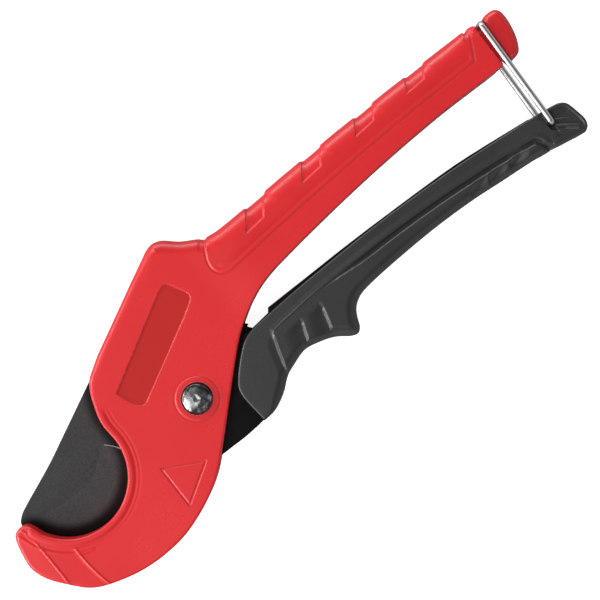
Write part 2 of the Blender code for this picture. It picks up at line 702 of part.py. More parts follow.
def pawl_outline(at):
    """Strut pawl.  Drawn engaged, its nose in a tooth gap, then turned out about its pin."""
    centre = polar(PAWL_PIN_AT_R, at)
    nose = at + PAWL_REACH
    eye = arc(centre, PAWL_EYE_R, at + 20, at - 160, 9)
    inner = [polar(26.12, at + 5.0), polar(26.08, at + 9.0), polar(26.05, nose - 4.7),
             polar(25.10, nose)]
    outer = [polar(27.4, nose), polar(28.9, nose - 4.5), polar(30.3, nose - 10)]
    return [turn_about(p, centre, -PAWL_LIFT) for p in eye + inner + outer]


def make_pawl(name, at):
    centre = polar(PAWL_PIN_AT_R, at)
    pawl = prism(name, pawl_outline(at), -BLADE_Z, BLADE_Z, ZINC, origin=centre)
    cut(pawl, 1, "eye", circle(PIN_R + 0.2, 12, centre), -3, 3)
    leaf = [polar(radius, at + ahead) for radius, ahead in LEAF]
    prism(f"{name}_spring", leaf, -1.2, 1.2, SPRING)


# ---------------------------------------------------------------- wire bail
def rounded_path(bends, radius, count):
    """Polyline with each inner corner replaced by an arc."""
    bends = [Vector(bend) for bend in bends]
    points = [bends[0]]
    for before, bend, after in zip(bends, bends[1:], bends[2:]):
        u, v = (before - bend).normalized(), (after - bend).normalized()
        half = u.angle(v) / 2
        back = radius / math.tan(half)
        centre = bend + (u + v).normalized() * (radius / math.sin(half))
        start, end = bend + u * back, bend + v * back
        for i in range(count + 1):
            spoke = start.lerp(end, i / count) - centre
            points.append(centre + spoke.normalized() * radius)
    return points + [bends[-1]]


def make_bail():
    """Wire loop over the handle's end, its two feet turned in towards the grip."""
    foot_end_z = 5.4
    bends = [(*BAIL_FOOT, foot_end_z), (*BAIL_FOOT, BAIL_LEG_Z), (*BAIL_TOP, BAIL_LEG_Z),
             (*BAIL_TOP, -BAIL_LEG_Z), (*BAIL_FOOT, -BAIL_LEG_Z), (*BAIL_FOOT, -foot_end_z)]
    sweep("bail", rounded_path(bends, radius=1.3, count=4), BAIL_WIRE_R, sides=10,
          material=CHROME, origin=BAIL_FOOT)


# ---------------------------------------------------------------- build
for old in list(bpy.data.objects):
    bpy.data.objects.remove(old, do_unlink=True)

make_shell("front_shell", 1)
make_shell("rear_shell", -1)
make_pivot()
make_return_spring()
make_screws("body_screw", BODY_SCREW_PROFILE, BODY_SCREWS)
make_blade()
make_channel()
make_grip("lever_grip_front", 1)
make_grip("lever_grip_rear", -1)
make_screws("grip_screw", GRIP_SCREW_PROFILE, GRIP_SCREWS)
make_pins()
make_pawl("drive_pawl", DRIVE_PAWL_AT)
make_pawl("holding_pawl", HOLDING_PAWL_AT)
make_bail()
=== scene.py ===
"""Looks of the ratcheting pipe cutter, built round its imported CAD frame.

Lengths are in millimetres about the main pivot, as in the CAD, and every mesh is moved to the row frame in
metres when it is finished.  +X runs along the handles, +Y from the lever to the fixed handle, +Z is thickness.
"""

import json
import math

import bmesh
import bpy
import numpy as np
from mathutils import Matrix, Vector
from mathutils.geometry import delaunay_2d_cdt


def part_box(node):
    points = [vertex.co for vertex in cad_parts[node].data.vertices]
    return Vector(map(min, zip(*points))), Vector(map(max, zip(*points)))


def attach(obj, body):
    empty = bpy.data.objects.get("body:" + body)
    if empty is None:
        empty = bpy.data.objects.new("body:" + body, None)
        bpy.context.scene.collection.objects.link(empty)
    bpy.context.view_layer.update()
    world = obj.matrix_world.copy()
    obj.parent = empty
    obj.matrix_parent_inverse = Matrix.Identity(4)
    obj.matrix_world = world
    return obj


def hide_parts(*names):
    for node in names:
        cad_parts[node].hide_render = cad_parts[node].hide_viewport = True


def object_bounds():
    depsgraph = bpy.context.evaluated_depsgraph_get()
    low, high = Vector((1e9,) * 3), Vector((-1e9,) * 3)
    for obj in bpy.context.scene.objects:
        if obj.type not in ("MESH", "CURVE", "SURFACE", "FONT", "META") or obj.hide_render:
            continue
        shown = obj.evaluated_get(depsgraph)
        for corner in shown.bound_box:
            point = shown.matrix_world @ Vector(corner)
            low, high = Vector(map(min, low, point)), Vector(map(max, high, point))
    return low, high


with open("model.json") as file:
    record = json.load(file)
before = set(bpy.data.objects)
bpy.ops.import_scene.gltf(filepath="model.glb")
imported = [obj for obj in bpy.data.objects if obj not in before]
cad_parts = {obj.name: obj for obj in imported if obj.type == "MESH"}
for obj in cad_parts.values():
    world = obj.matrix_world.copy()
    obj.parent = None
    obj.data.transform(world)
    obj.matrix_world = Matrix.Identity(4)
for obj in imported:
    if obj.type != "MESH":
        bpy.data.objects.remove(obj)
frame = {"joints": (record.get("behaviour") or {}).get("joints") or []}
CAD_BOX = [[float(c) for c in corner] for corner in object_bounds()]

JOINTS = {j["name"]: j for j in frame["joints"]}
PX, PY = (1000 * c for c in JOINTS["blade_pivot"]["pos_m"][:2])


def joint_mm(name):
    """A joint's place in millimetres about the main pivot."""
    x, y = JOINTS[name]["pos_m"][:2]
    return 1000 * x - PX, 1000 * y - PY


def box_mm(node):
    low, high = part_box(node)
    move = Vector((PX, PY, 0))
    return low * 1000 - move, high * 1000 - move


HEAD_Z, HANDLE_Z, CAP_Z = 8.5, 9.0, 8.0
LEVER_Z = 9.3
BLADE_Z = 1.5
JAW_CX, JAW_CY, JAW_R = -43.3, 6.75, 17.6
PIN_R = 1.25
BODY_SCREWS = [tuple((a + b) / 2 for a, b in zip(*box_mm(f"body_screw_{k}")))[:2] for k in range(1, 6)]
GRIP_SCREWS = [tuple((a + b) / 2 for a, b in zip(*box_mm(f"grip_screw_{k}")))[:2] for k in range(1, 4)]
DRIVE_PAWL = joint_mm("drive_pawl_pivot")
HOLDING_PAWL = joint_mm("holding_pawl_pivot")
BAIL_X, BAIL_Y = joint_mm("bail_pivot")


# ---------------------------------------------------------------- outlines
def polar(radius, degrees):
    turn = math.radians(degrees)
    return (radius * math.cos(turn), radius * math.sin(turn))


def arc(cx, cy, radius, start, end, count):
    return [
        (cx + radius * math.cos(math.radians(start + (end - start) * i / count)),
         cy + radius * math.sin(math.radians(start + (end - start) * i / count)), 0)
        for i in range(count + 1)
    ]


def circle(cx, cy, radius, count=48):
    return [p[:2] for p in arc(cx, cy, radius, 0, 360 - 360 / count, count - 1)]


def simplify(points, tolerance):
    """Drops points that lie within the tolerance of the line between their kept neighbours."""
    keep = [False] * len(points)
    keep[0] = keep[-1] = True
    todo = [(0, len(points) - 1)]
    while todo:
        a, b = todo.pop()
        if b - a < 2:
            continue
        (ax, ay), (bx, by) = points[a], points[b]
        length = math.hypot(bx - ax, by - ay) or 1e-9
        far, at = -1.0, a
        for i in range(a + 1, b):
            px, py = points[i]
            if length > 1e-6:
                off = abs((bx - ax) * (py - ay) - (by - ay) * (px - ax)) / length
            else:
                off = math.hypot(px - ax, py - ay)
            if off > far:
                far, at = off, i
        if far > tolerance:
            keep[at] = True
            todo += [(a, at), (at, b)]
    return [p for p, k in zip(points, keep) if k]


def spline(controls, closed, steps=16):
    """Points through the controls.  (x, y) is smooth, (x, y, 0) is a corner."""
    n = len(controls)
    if closed:
        first = next((i for i, c in enumerate(controls) if len(c) == 3), 0)
        controls = controls[first:] + controls[:first]
    corner = [len(c) == 3 for c in controls]
    if not closed:
        corner[0] = corner[-1] = True
    out = []
    for i in range(n if closed else n - 1):
        p1 = np.array(controls[i][:2], float)
        p2 = np.array(controls[(i + 1) % n][:2], float)
        if corner[i] and corner[(i + 1) % n]:
            out.append(tuple(p1))
            continue
        p0 = 2 * p1 - p2 if corner[i] else np.array(controls[i - 1][:2], float)
        p3 = 2 * p2 - p1 if corner[(i + 1) % n] else np.array(controls[(i + 2) % n][:2], float)
        t = [0.0]
        for a, b in ((p0, p1), (p1, p2), (p2, p3)):
            t.append(t[-1] + max(float(np.linalg.norm(b - a)), 1e-6) ** 0.5)
        for k in range(steps):
            u = t[1] + (t[2] - t[1]) * k / steps
            a1 = (t[1] - u) / (t[1] - t[0]) * p0 + (u - t[0]) / (t[1] - t[0]) * p1
            a2 = (t[2] - u) / (t[2] - t[1]) * p1 + (u - t[1]) / (t[2] - t[1]) * p2
            a3 = (t[3] - u) / (t[3] - t[2]) * p2 + (u - t[2]) / (t[3] - t[2]) * p3
            b1 = (t[2] - u) / (t[2] - t[0]) * a1 + (u - t[0]) / (t[2] - t[0]) * a2
            b2 = (t[3] - u) / (t[3] - t[1]) * a2 + (u - t[1]) / (t[3] - t[1]) * a3
            c = (t[2] - u) / (t[2] - t[1]) * b1 + (u - t[1]) / (t[2] - t[1]) * b2
            out.append((float(c[0]), float(c[1])))
    if not closed:
        out.append(tuple(controls[-1][:2]))
    return out


def curve(controls, tolerance=0.02):
    """Closed outline through the controls."""
    out = spline(controls, True)
    half = len(out) // 2
    return simplify(out[: half + 1], tolerance)[:-1] + simplify(out[half:] + out[:1], tolerance)[:-1]


def line(controls, tolerance=0.02):
    """Open line through the controls."""
    return simplify(spline(controls, False), tolerance)


def counter_clockwise(points):
    area = sum(a[0] * b[1] - b[0] * a[1] for a, b in zip(points, points[1:] + points[:1]))
    return points if area > 0 else points[::-1]


def divided(points, longest, closed=True):
    out = []
    ends = points[1:] + points[:1] if closed else points[1:]
    for a, b in zip(points, ends):
        parts = max(1, math.ceil(math.hypot(b[0] - a[0], b[1] - a[1]) / longest))
        out += [(a[0] + (b[0] - a[0]) * k / parts, a[1] + (b[1] - a[1]) * k / parts) for k in range(parts)]
    return out if closed else out + [points[-1]]


def near_segments(points, path, closed):
    """Distance to a path, the nearest segment, the place along it, and the side (+ on its left)."""
    points = np.asarray(points, float)
    a = np.asarray(path, float)
    b = np.roll(a, -1, axis=0) if closed else a[1:]
    a = a if closed else a[:-1]
    ab = b - a
    length2 = np.maximum((ab * ab).sum(1), 1e-12)
    dist, which, where, side = [], [], [], []
    for k in range(0, len(points), 3000):
        p = points[k:k + 3000, None, :]
        t = np.clip(((p - a) * ab).sum(2) / length2, 0, 1)
        off = p - (a + t[..., None] * ab)
        d2 = (off ** 2).sum(2)
        i = d2.argmin(1)
        rows = np.arange(len(i))
        dist.append(np.sqrt(d2[rows, i]))
        which.append(i)
        where.append(t[rows, i])
        q = p[:, 0] - a[i]
        side.append(np.sign(ab[i, 0] * q[:, 1] - ab[i, 1] * q[:, 0]))
    return [np.concatenate(v) for v in (dist, which, where, side)]


def is_inside(points, outline):
    points = np.asarray(points, float)
    a = np.asarray(outline, float)
    b = np.roll(a, -1, axis=0)
    dy = np.where(b[:, 1] == a[:, 1], 1e-12, b[:, 1] - a[:, 1])
    out = []
    for k in range(0, len(points), 3000):
        x, y = points[k:k + 3000, 0, None], points[k:k + 3000, 1, None]
        crosses = (a[:, 1] > y) != (b[:, 1] > y)
        cut = a[:, 0] + (y - a[:, 1]) * (b[:, 0] - a[:, 0]) / dy
        out.append(((crosses & (x < cut)).sum(1) % 2) == 1)
    return np.concatenate(out)


def signed(points, outline):
    """Distance to a closed outline, positive inside."""
    d = near_segments(points, outline, True)[0]
    return np.where(is_inside(points, outline), d, -d)


def ramp(a, b, x):
    t = np.clip((np.asarray(x, float) - a) / (b - a), 0, 1)
    return t * t * (3 - 2 * t)


def hump(x, half):
    """1 on a line, falling smoothly to 0 at the half width."""
    return np.clip(1 - (np.asarray(x) / half) ** 2, 0, 1) ** 2


# ---------------------------------------------------------------- meshes
def finish(name, mesh, smooth):
    mesh.transform(Matrix.Scale(0.001, 4) @ Matrix.Translation((PX, PY, 0)))
    obj = bpy.data.objects.new(name, mesh)
    bpy.context.scene.collection.objects.link(obj)
    if smooth:
        mesh.shade_smooth()
        mesh.set_sharp_from_angle(angle=math.radians(smooth))
    return obj


def mesh_of(name, build):
    bm = build()
    bmesh.ops.recalc_face_normals(bm, faces=bm.faces)
    mesh = bpy.data.meshes.new(name)
    bm.to_mesh(mesh)
    bm.free()
    return mesh


def prism(name, outline, z0, z1, bevel=0.0, smooth=35):
    """Plate with the given outline and, if wanted, chamfered rims."""
    outline = counter_clockwise([(p[0], p[1]) for p in outline])

    def build():
        bm = bmesh.new()
        low = [bm.verts.new((x, y, z0)) for x, y in outline]
        base = bm.faces.new(low[::-1])
        top = bmesh.ops.extrude_face_region(bm, geom=[base])["geom"]
        for v in top:
            if isinstance(v, bmesh.types.BMVert):
                v.co.z = z1
        if bevel:
            rims = [e for e in bm.edges if abs(e.verts[0].co.z - e.verts[1].co.z) < 1e-6]
            bmesh.ops.bevel(bm, geom=rims, offset=bevel, segments=2, profile=0.6, affect="EDGES",
                            clamp_overlap=True)
        return bm

    return finish(name, mesh_of(name, build), smooth)


def turned(name, profile, at=(0, 0), sides=64, smooth=35, build_only=False):
    """Solid of revolution about a Z line.  profile runs round the half section as (radius, z) points."""

    def build():
        bm = bmesh.new()
        rings = []
        for radius, z in profile:
            if radius <= 1e-6:
                rings.append([bm.verts.new((at[0], at[1], z))])
            else:
                rings.append([
                    bm.verts.new((at[0] + radius * math.cos(2 * math.pi * k / sides),
                                  at[1] + radius * math.sin(2 * math.pi * k / sides), z))
                    for k in range(sides)
                ])
        loop = rings + ([rings[0]] if len(rings[0]) > 1 else [])
        for low, high in zip(loop, loop[1:]):
            if len(low) == 1 and len(high) == 1:
                continue
            for k in range(sides):
                j = (k + 1) % sides
                if len(low) == 1:
                    bm.faces.new((low[0], high[j], high[k]))
                elif len(high) == 1:
                    bm.faces.new((low[k], low[j], high[0]))
                else:
                    bm.faces.new((low[k], low[j], high[j], high[k]))
        return bm

    return finish(name, mesh_of(name, build), smooth)


def sweep(name, path, radius, sides, dome=True):
    """Round wire along a path of (x, y, z) points, with rounded ends."""
    pts = [Vector(p) for p in path]

    def build():
        bm = bmesh.new()
        normal = None
        rings = []
        frames = []
        for i, p in enumerate(pts):
            a = pts[max(i - 1, 0)]
            b = pts[min(i + 1, len(pts) - 1)]
            tangent = (b - a).normalized()
            if normal is None:
                normal = tangent.orthogonal().normalized()
            normal = (normal - tangent * normal.dot(tangent)).normalized()
            frames.append((p, tangent, normal.copy(), tangent.cross(normal)))
        stations = [(f, 0.0, radius) for f in frames]
        if dome:
            lead = [(frames[0], -radius * math.sin(t), radius * math.cos(t)) for t in (1.4, 1.1, 0.8, 0.5, 0.25)]
            tail = [(frames[-1], radius * math.sin(t), radius * math.cos(t)) for t in (0.25, 0.5, 0.8, 1.1, 1.4)]
            stations = lead + stations + tail
        for (p, tangent, n, side), along, r in stations:
            rings.append([
                bm.verts.new(p + tangent * along + r * (math.cos(2 * math.pi * k / sides) * n
                                                        + math.sin(2 * math.pi * k / sides) * side))
                for k in range(sides)
            ])
        for low, high in zip(rings, rings[1:]):
            for k in range(sides):
                j = (k + 1) % sides
                bm.faces.new((low[k], low[j], high[j], high[k]))
        bm.faces.new(rings[0][::-1])
        bm.faces.new(rings[-1])
        return bm

    return finish(name, mesh_of(name, build), 50)


class Thinned:
    """Points kept at least a given distance from each other."""

    def __init__(self, cell=0.5):
        self.cell, self.grid, self.points = cell, {}, []

    def add(self, candidates, least):
        reach = int(math.ceil(least / self.cell))
        for x, y in candidates:
            i, j = int(math.floor(x / self.cell)), int(math.floor(y / self.cell))
            close = False
            for a in range(i - reach, i + reach + 1):
                for b in range(j - reach, j + reach + 1):
                    for q in self.grid.get((a, b), ()):
                        if (q[0] - x) ** 2 + (q[1] - y) ** 2 < least * least:
                            close = True
                            break
                    if close:
                        break
                if close:
                    break
            if not close:
                self.grid.setdefault((i, j), []).append((x, y))
                self.points.append((x, y))


def offsets_of(path, closed, distances, step):
    """Points beside a path at signed distances, left positive."""
    pts = np.array(divided(path, step, closed))
    ahead = np.roll(pts, -1, 0) - pts
    behind = pts - np.roll(pts, 1, 0)
    if not closed:
        ahead[-1], behind[0] = behind[-1], ahead[0]
    unit = lambda v: v / np.maximum(np.linalg.norm(v, axis=1, keepdims=True), 1e-9)
    tangent = unit(unit(ahead) + unit(behind))
    left = np.stack([-tangent[:, 1], tangent[:, 0]], 1)
    return [tuple(p) for d in distances for p in pts + left * d]


SHAPES = {}
ROUND_STEPS = [1 - math.cos(math.radians(a)) for a in (12, 25, 38, 51, 64, 77, 90)]


def relief(name, outline, edge, height, features, base, sign=1, step=0.7, coarse=2.4, both=False, smooth=32):
    """Moulded half: flat parting face, upright wall, round rim of radius edge(x, y), and an outer face
    z = height(points, edge distance, rim radius).  features are (path, closed, distances, step)."""
    simple = counter_clockwise(outline)
    outline = divided(simple, step)
    n = len(outline)
    ring = np.array(outline)
    radius = edge(ring)
    weights = np.array([1, 2, 3, 2, 1]) / 9
    radius = sum(w * np.roll(radius, k - 2) for k, w in enumerate(weights))
    ahead, behind = np.roll(ring, -1, 0) - ring, ring - np.roll(ring, 1, 0)
    unit = lambda v: v / np.maximum(np.linalg.norm(v, axis=1, keepdims=True), 1e-9)
    tangent = unit(unit(ahead) + unit(behind))
    inward = np.stack([-tangent[:, 1], tangent[:, 0]], 1)
    kept = Thinned()
    kept.add(outline, 0.0)
    for fraction in reversed(ROUND_STEPS):
        distance = radius * fraction
        near = near_segments(ring + inward * distance[:, None], simple, True)[0]
        ok = is_inside(ring + inward * distance[:, None], simple) & (near > 0.9 * distance)
        chosen = (ring + inward * distance[:, None])[ok]
        kept.add([tuple(p) for p in chosen], 0.035 + 0.05 * fraction)
    for path, closed, distances, along in features:
        candidates = np.array(offsets_of(path, closed, distances, along))
        ok = is_inside(candidates, simple) & (near_segments(candidates, simple, True)[0] > 0.12)
        kept.add([tuple(p) for p in candidates[ok]], 0.14)
    lo, hi = ring.min(0), ring.max(0)
    rows = np.arange(lo[1], hi[1], coarse * 0.87)
    grid = np.array([(x + (coarse / 2 if k % 2 else 0), y) for k, y in enumerate(rows)
                     for x in np.arange(lo[0], hi[0], coarse)])
    ok = is_inside(grid, simple)
    grid = grid[ok]
    kept.add([tuple(p) for p in grid[near_segments(grid, simple, True)[0] > 0.5]], 0.5 * coarse)
    flat = [Vector(p) for p in outline] + [Vector(p) for p in kept.points[n:]]
    edges = [(i, (i + 1) % n) for i in range(n)]
    verts, _, faces, _, _, _ = delaunay_2d_cdt(flat, edges, [], 1, 1e-7)
    P = np.array([(v.x, v.y) for v in verts])
    near, which, where, _ = near_segments(P, simple, True)
    near[:n] = 0
    at = {tuple(np.round(p, 6)): i for i, p in enumerate(ring)}
    corner_radius = radius[[at[tuple(np.round(p, 6))] for p in np.array(simple, float)]]
    rim = corner_radius[which] * (1 - where) + np.roll(corner_radius, -1)[which] * where
    z = height(P, near, rim)
    SHAPES[name] = (simple, corner_radius, height, (1, -1) if both else (sign,))

    def build():
        bm = bmesh.new()
        top = [bm.verts.new((p[0], p[1], sign * h)) for p, h in zip(P, z)]
        for f in faces:
            bm.faces.new([top[i] for i in f])
        if both:
            low = [bm.verts.new((p[0], p[1], -h)) for p, h in zip(P, z)]
            for f in faces:
                bm.faces.new([low[i] for i in reversed(f)])
            rings = [low[:n], top[:n]]
        else:
            inner = ring + inward * 0.14
            lowest = [bm.verts.new((p[0], p[1], sign * base)) for p in inner]
            bead = [bm.verts.new((p[0], p[1], sign * (base + 0.14))) for p in ring]
            middle = [bm.verts.new((p[0], p[1], sign * (base + 0.14 + 0.5 * (h - base - 0.14)))) for p, h in
                      zip(ring, z[:n])]
            bm.faces.new(lowest[::-1])
            rings = [lowest, bead, middle, top[:n]]
        for a, b in zip(rings, rings[1:]):
            for i in range(n):
                j = (i + 1) % n
                bm.faces.new((a[i], a[j], b[j], b[i]))
        return bm

    return finish(name, mesh_of(name, build), smooth)


CUTTERS = []


def cut(obj, other, operation="DIFFERENCE"):
    modifier = obj.modifiers.new(operation.lower(), "BOOLEAN")
    modifier.operation = operation
    modifier.solver = "MANIFOLD"
    modifier.object = other
    CUTTERS.append(other)


def height_at(shape, P):
    simple, corner_radius, height, _ = shape
    near, which, where, _ = near_segments(P, simple, True)
    rim = corner_radius[which] * (1 - where) + np.roll(corner_radius, -1)[which] * where
    return height(P, near, rim), near


def draw_normals(mesh, shape):
    """Gives the outer face the normals of the function that made it, so that long triangles shade smoothly."""
    points = np.empty(len(mesh.vertices) * 3, np.float32)
    mesh.vertices.foreach_get("co", points)
    points = points.reshape(-1, 3).astype(float) * 1000 - np.array([PX, PY, 0])
    corners = np.empty(len(mesh.loops) * 3, np.float32)
    mesh.corner_normals.foreach_get("vector", corners)
    corners = corners.reshape(-1, 3).astype(float)
    vertex = np.empty(len(mesh.loops), np.int32)
    mesh.loops.foreach_get("vertex_index", vertex)
    faces = np.empty(len(mesh.polygons) * 3, np.float32)
    mesh.polygons.foreach_get("normal", faces)
    sizes = np.empty(len(mesh.polygons), np.int32)
    mesh.polygons.foreach_get("loop_total", sizes)
    facing = np.repeat(faces.reshape(-1, 3), sizes, axis=0)
    P = points[:, :2]
    h, near = height_at(shape, P)
    inside = (near > 0.05) & is_inside(P, shape[0])
    step = 0.03
    for sign in shape[3]:
        on = np.where(inside & (np.abs(sign * points[:, 2] - h) < 0.02))[0]
        slope = [
            (height_at(shape, P[on] + move)[0] - height_at(shape, P[on] - move)[0]) / (2 * step)
            for move in (np.array([step, 0.0]), np.array([0.0, step]))
        ]
        normal = np.stack([-slope[0], -slope[1], np.full(len(on), 1.0)], 1)
        normal /= np.linalg.norm(normal, axis=1, keepdims=True)
        normal[:, 2] *= sign
        full = np.zeros((len(points), 3))
        full[on] = normal
        wanted = full[vertex]
        use = (wanted * facing).sum(1) > 0.55
        corners[use] = wanted[use]
    mesh.normals_split_custom_set([tuple(c) for c in corners])


def settle(obj, smooth=32):
    """Applies the modifiers, then drops the cutters."""
    bpy.context.view_layer.update()
    graph = bpy.context.evaluated_depsgraph_get()
    mesh = bpy.data.meshes.new_from_object(obj.evaluated_get(graph))
    obj.modifiers.clear()
    obj.data = mesh
    mesh.name = obj.name
    for other in CUTTERS:
        bpy.data.objects.remove(other, do_unlink=True)
    CUTTERS.clear()
    bm = bmesh.new()
    bm.from_mesh(mesh)
    bmesh.ops.dissolve_degenerate(bm, dist=2e-7, edges=bm.edges)
    bm.to_mesh(mesh)
    bm.free()
    mesh.shade_smooth()
    mesh.set_sharp_from_angle(angle=math.radians(smooth))
    shape = SHAPES.pop(obj.name, None)
    if shape:
        draw_normals(mesh, shape)
    return obj


# ---------------------------------------------------------------- materials
class Graph:
    """A short way to write a node tree."""

    def __init__(self, name):
        self.material = bpy.data.materials.new(name)
        self.material.use_nodes = True
        self.tree = self.material.node_tree
        self.shader = self.tree.nodes["Principled BSDF"]

    def node(self, kind, **values):
        n = self.tree.nodes.new(kind)
        for key, value in values.items():
            if key in n.inputs:
                socket = n.inputs[key]
                if isinstance(value, bpy.types.NodeSocket):
                    self.tree.links.new(value, socket)
                else:
                    socket.default_value = value
            else:
                setattr(n, key, value)
        return n

    def place(self):
        """Object coordinates in metres."""
        return self.tree.nodes.new("ShaderNodeTexCoord").outputs["Object"]

    def noise(self, size, detail=3.0, rough=0.55, vector=None, stretch=None):
        """Noise whose features are about size millimetres."""
        vector = vector or self.place()
        if stretch:
            mapping = self.node("ShaderNodeMapping")
            mapping.inputs["Scale"].default_value = stretch
            self.tree.links.new(vector, mapping.inputs["Vector"])
            vector = mapping.outputs["Vector"]
        n = self.node("ShaderNodeTexNoise", Scale=1000.0 / size, Detail=detail, Roughness=rough)
        self.tree.links.new(vector, n.inputs["Vector"])
        return n.outputs["Fac"]

    def spread(self, value, low, high, from_low=0.3, from_high=0.7):
        n = self.node("ShaderNodeMapRange")
        self.tree.links.new(value, n.inputs["Value"])
        n.inputs["From Min"].default_value = from_low
        n.inputs["From Max"].default_value = from_high
        n.inputs["To Min"].default_value = low
        n.inputs["To Max"].default_value = high
        return n.outputs["Result"]

    def mix(self, fac, a, b):
        n = self.tree.nodes.new("ShaderNodeMix")
        n.data_type = "RGBA"
        for socket, value in ((n.inputs["Factor"], fac), (n.inputs[6], a), (n.inputs[7], b)):
            if isinstance(value, bpy.types.NodeSocket):
                self.tree.links.new(value, socket)
            else:
                socket.default_value = (*value, 1) if isinstance(value, tuple) else value
        return n.outputs[2]

    def math(self, operation, a, b):
        n = self.tree.nodes.new("ShaderNodeMath")
        n.operation = operation
        for socket, value in zip(n.inputs, (a, b)):
            if isinstance(value, bpy.types.NodeSocket):
                self.tree.links.new(value, socket)
            else:
                socket.default_value = value
        return n.outputs[0]

    def bump(self, *layers):
        """layers are (height socket, depth in mm)."""
        normal = None
        for value, depth in layers:
            n = self.node("ShaderNodeBump", Strength=1.0, Distance=depth / 1000)
            self.tree.links.new(value, n.inputs["Height"])
            if normal:
                self.tree.links.new(normal, n.inputs["Normal"])
            normal = n.outputs["Normal"]
        self.tree.links.new(normal, self.shader.inputs["Normal"])
        return normal

    def edge_wear_and_sheen(self, normal=None, radius=0.35):
        """Near 1 on convex corners, from the difference between the rounded and the true normal."""
        bevel = self.tree.nodes.new("ShaderNodeBevel")
        bevel.samples = 4
        bevel.inputs["Radius"].default_value = radius / 1000
        geometry = self.tree.nodes.new("ShaderNodeNewGeometry")
        dot = self.tree.nodes.new("ShaderNodeVectorMath")
        dot.operation = "DOT_PRODUCT"
        self.tree.links.new(bevel.outputs["Normal"], dot.inputs[0])
        self.tree.links.new(geometry.outputs["Normal"], dot.inputs[1])
        return self.spread(dot.outputs["Value"], 1.0, 0.0, 0.86, 0.995)

    def shade(self, reach, dark=0.58, open_at=0.88):
        """0 in a corner that little light reaches, 1 in the open."""
        n = self.tree.nodes.new("ShaderNodeAmbientOcclusion")
        n.samples = 16
        n.inputs["Distance"].default_value = reach / 1000
        return self.spread(n.outputs["AO"], 0.0, 1.0, dark, open_at)

    def use(self, socket, value):
        if isinstance(value, bpy.types.NodeSocket):
            self.tree.links.new(value, self.shader.inputs[socket])
        else:
            self.shader.inputs[socket].default_value = (*value, 1) if isinstance(value, tuple) else value


def moulded(name, color, deeper, roughness, grain, edge, gloss=0.46, edge_sheen=0.5, hollow=0.7):
    """Injection-moulded plastic: fine spark-eroded grain, slight flow mottling, uneven gloss, a painted highlight on
    convex edges and painted shade in hollows.
    """
    g = Graph(name)
    flow = g.noise(22.0, 3.0, 0.5)
    fine = g.noise(0.38, 2.0, 0.6)
    specks = g.noise(1.3, 4.0, 0.7)
    base = g.mix(g.spread(flow, 0.0, 1.0), color, deeper)
    base = g.mix(g.spread(specks, 0.0, 0.22, 0.45, 0.75), base, deeper)
    # painted highlight: convex edges are painted toward the edge colour, in place of the bright rim lines that light
    # picks out
    base = g.mix(g.math("MULTIPLY", g.edge_wear_and_sheen(radius=0.3), edge_sheen), base, edge)
    # painted shade: hollows and corners that little light reaches are painted darker, by the hollow fraction toward
    # black
    base = g.mix(g.shade(2.2, 0.60, 0.93), g.mix(hollow, (0.0, 0.0, 0.0), base), base)
    g.use("Base Color", base)
    rough = g.math("ADD", g.spread(flow, -0.03, 0.03), g.spread(specks, roughness - 0.03, roughness + 0.05))
    g.use("Roughness", rough)
    g.use("Specular IOR Level", gloss)
    g.bump((fine, grain), (specks, grain * 0.5), (flow, 0.05))
    return g.material


def steel(name, color, roughness, grain=0.004, brush=None, tarnish=(0.3, 0.3, 0.3), amount=0.25, metallic=1.0):
    """Plated steel: faint tarnish, fine scratches, brighter scuffed corners."""
    g = Graph(name)
    clouds = g.noise(3.5, 4.0, 0.6)
    fine = g.noise(0.25, 2.0, 0.6, stretch=brush)
    base = g.mix(g.spread(clouds, 0.0, amount), color, tarnish)
    base = g.mix(g.math("MULTIPLY", g.edge_wear_and_sheen(), 0.35), base, (0.86, 0.86, 0.87))
    g.use("Base Color", base)
    g.use("Metallic", metallic)
    g.use("Roughness", g.math("ADD", g.spread(clouds, -0.04, 0.05), g.spread(fine, roughness - 0.03, roughness + 0.04)))
    g.bump((fine, grain), (clouds, grain * 2))
    return g.material


def stamped():
    """Upset and polished rivet head: bright, with the uneven facets that the punch leaves."""
    g = Graph("bright_steel_look")
    dents = g.noise(2.6, 2.0, 0.45)
    fine = g.noise(0.5, 3.0, 0.6)
    base = g.mix(g.spread(dents, 0.0, 1.0, 0.42, 0.6), (0.86, 0.86, 0.87), (0.34, 0.34, 0.35))
    # painted shade: the outer rim of the head is painted near black for the dark ring that shows round it
    axis = g.node("ShaderNodeVectorMath", operation="SUBTRACT")
    g.tree.links.new(g.place(), axis.inputs[0])
    axis.inputs[1].default_value = (PX / 1000, PY / 1000, 0.0)
    flat = g.node("ShaderNodeVectorMath", operation="MULTIPLY")
    g.tree.links.new(axis.outputs[0], flat.inputs[0])
    flat.inputs[1].default_value = (1.0, 1.0, 0.0)
    radius = g.node("ShaderNodeVectorMath", operation="LENGTH")
    g.tree.links.new(flat.outputs[0], radius.inputs[0])
    dark_ring_radius = g.math("ADD", radius.outputs["Value"], g.spread(dents, -0.0005, 0.0005))
    rim = g.spread(dark_ring_radius, 0.0, 0.93, 0.0030, 0.0040)
    base = g.mix(rim, base, (0.035, 0.045, 0.048))
    g.use("Base Color", base)
    g.use("Metallic", 1.0)
    g.use("Roughness", g.spread(fine, 0.13, 0.25))
    g.bump((dents, 0.42), (fine, 0.012))
    return g.material


